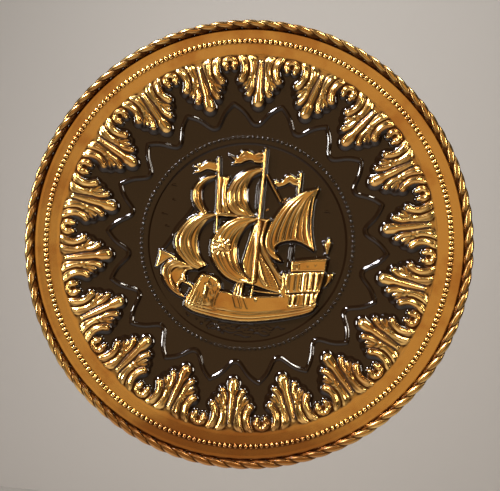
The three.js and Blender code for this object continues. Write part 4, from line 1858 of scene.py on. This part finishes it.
@dataclass
class Studio:
    """A pale floor, a pale backdrop, soft lights and the camera.

    Attributes:
        floor_level: height of the floor under the plaque's middle, in metres.
        backdrop_behind: distance of the backdrop behind it.
        reach: half width of both.
        world: colour of the dim room.
        tilt_degrees: how far off the plaque's axis the camera stands.
        lean: which way, to the right and up.
        roll_degrees: how far it is turned about its own axis.
        distance: from the plaque's rim to the camera.
        rim_height: how far the rim stands out of the wall.
        aside: how far the camera is moved to the right and up of that axis.
    """

    floor_level: float = -1.1
    backdrop_behind: float = Aim.BACKDROP.value[1]
    reach: float = 5.0
    world: str = "#2A251E"
    lights: tuple[Softbox, ...] = (
        Softbox("front_silk", (0.1, -2.2, 0.3), (2.0, 1.9), 6.7, "#FFD093"),
        Softbox("key_softbox", (-0.9, -0.75, 1.15), (0.24, 0.24), 47.0, "#F6F4FF"),
        Softbox("left_strip", (-1.3, -0.55, 0.05), (0.1, 0.7), 16.0, "#FFFBF6"),
        Softbox("top_strip", (0.5, -0.7, 1.5), (0.7, 0.1), 14.0, "#FFF8EC"),
        Softbox("right_fill", (1.3, -0.9, 0.35), (0.14, 0.6), 8.0, "#FFF2E2"),
        Softbox("backdrop_wash", (0.0, 1.0, 2.4), (2.6, 0.6), 16.0, aim=Aim.BACKDROP),
    )
    tilt_degrees: float = 4.0
    lean: tuple[float, float] = (0.849, -0.528)
    roll_degrees: float = 5.0
    distance: float = 0.5595
    rim_height: float = 0.0162
    lens: float = 50.4
    aside: tuple[float, float] = (0.00368, -0.00328)

    def stage(self) -> None:
        """Lays the floor and stands the backdrop."""
        paint = PaleMatt().build()
        reach, low, behind = self.reach, self.floor_level, self.backdrop_behind
        foot = [(-reach, behind, low), (reach, behind, low)]
        floor = [(-reach, -reach, low), (reach, -reach, low), *foot[::-1]]
        backdrop = [*foot, (reach, behind, reach), (-reach, behind, reach)]
        for name, corners in (("floor", floor), ("backdrop", backdrop)):
            mesh = bpy.data.meshes.new(name)
            mesh.from_pydata(corners, [], [(0, 1, 2, 3)])
            mesh.materials.append(paint)
            placed(name, mesh)

    def light(self) -> None:
        """Hangs the softboxes and sets a dim room round them."""
        for softbox in self.lights:
            softbox.hang()
        room = bpy.data.worlds.new("dim_room")
        room.use_nodes = True
        room.node_tree.nodes["Background"].inputs[0].default_value = linear(self.world)
        bpy.context.scene.world = room
        bpy.context.scene.view_settings.view_transform = "Standard"

    def camera(self) -> None:
        """Sets the camera a little to the right of and below the plaque's axis, rolled to the left."""
        tilt, roll = math.radians(self.tilt_degrees), math.radians(self.roll_degrees)
        middle = Vector((0, -self.rim_height, 0))
        sidewise, upward = (share * math.sin(tilt) for share in self.lean)
        away = Vector((sidewise, -math.cos(tilt), upward)).normalized()
        level = away.cross(Vector((0, 0, 1))).normalized() * -1
        rise = away.cross(level).normalized()
        right = level * math.cos(roll) + rise * math.sin(roll)
        up = rise * math.cos(roll) - level * math.sin(roll)
        data = bpy.data.cameras.new("camera")
        data.lens = self.lens
        data.sensor_width = 36.0
        data.clip_start = 0.01
        eye = bpy.data.objects.new("camera", data)
        eye.matrix_world = Matrix((right, up, away)).transposed().to_4x4()
        eye.location = middle + away * self.distance + right * self.aside[0] + up * self.aside[1]
        bpy.context.scene.collection.objects.link(eye)
        bpy.context.scene.camera = eye


def main() -> None:
    """Builds the plaque and its studio."""
    logging.basicConfig(level=logging.INFO, format="%(message)s")
    finish = GildedEnamel().build()
    parts = (
        Medallion(finish),
        PressedRings(finish),
        RopeEdge(finish),
        BeadRow(finish, "rim_beads", 246, 162.8, 14.2, size=(2.4, 1.8, 2.0), bare=(1.0, 1.0)),
        BeadRow(finish, "medallion_beads", 134, 87.0, 1.65, size=(1.5, 1.35, 1.3), bare=(0.0, 0.0)),
    )
    for part in parts:
        part.dress()
    studio = Studio()
    studio.stage()
    studio.light()
    studio.camera()


if __name__ == "__main__":
    main()
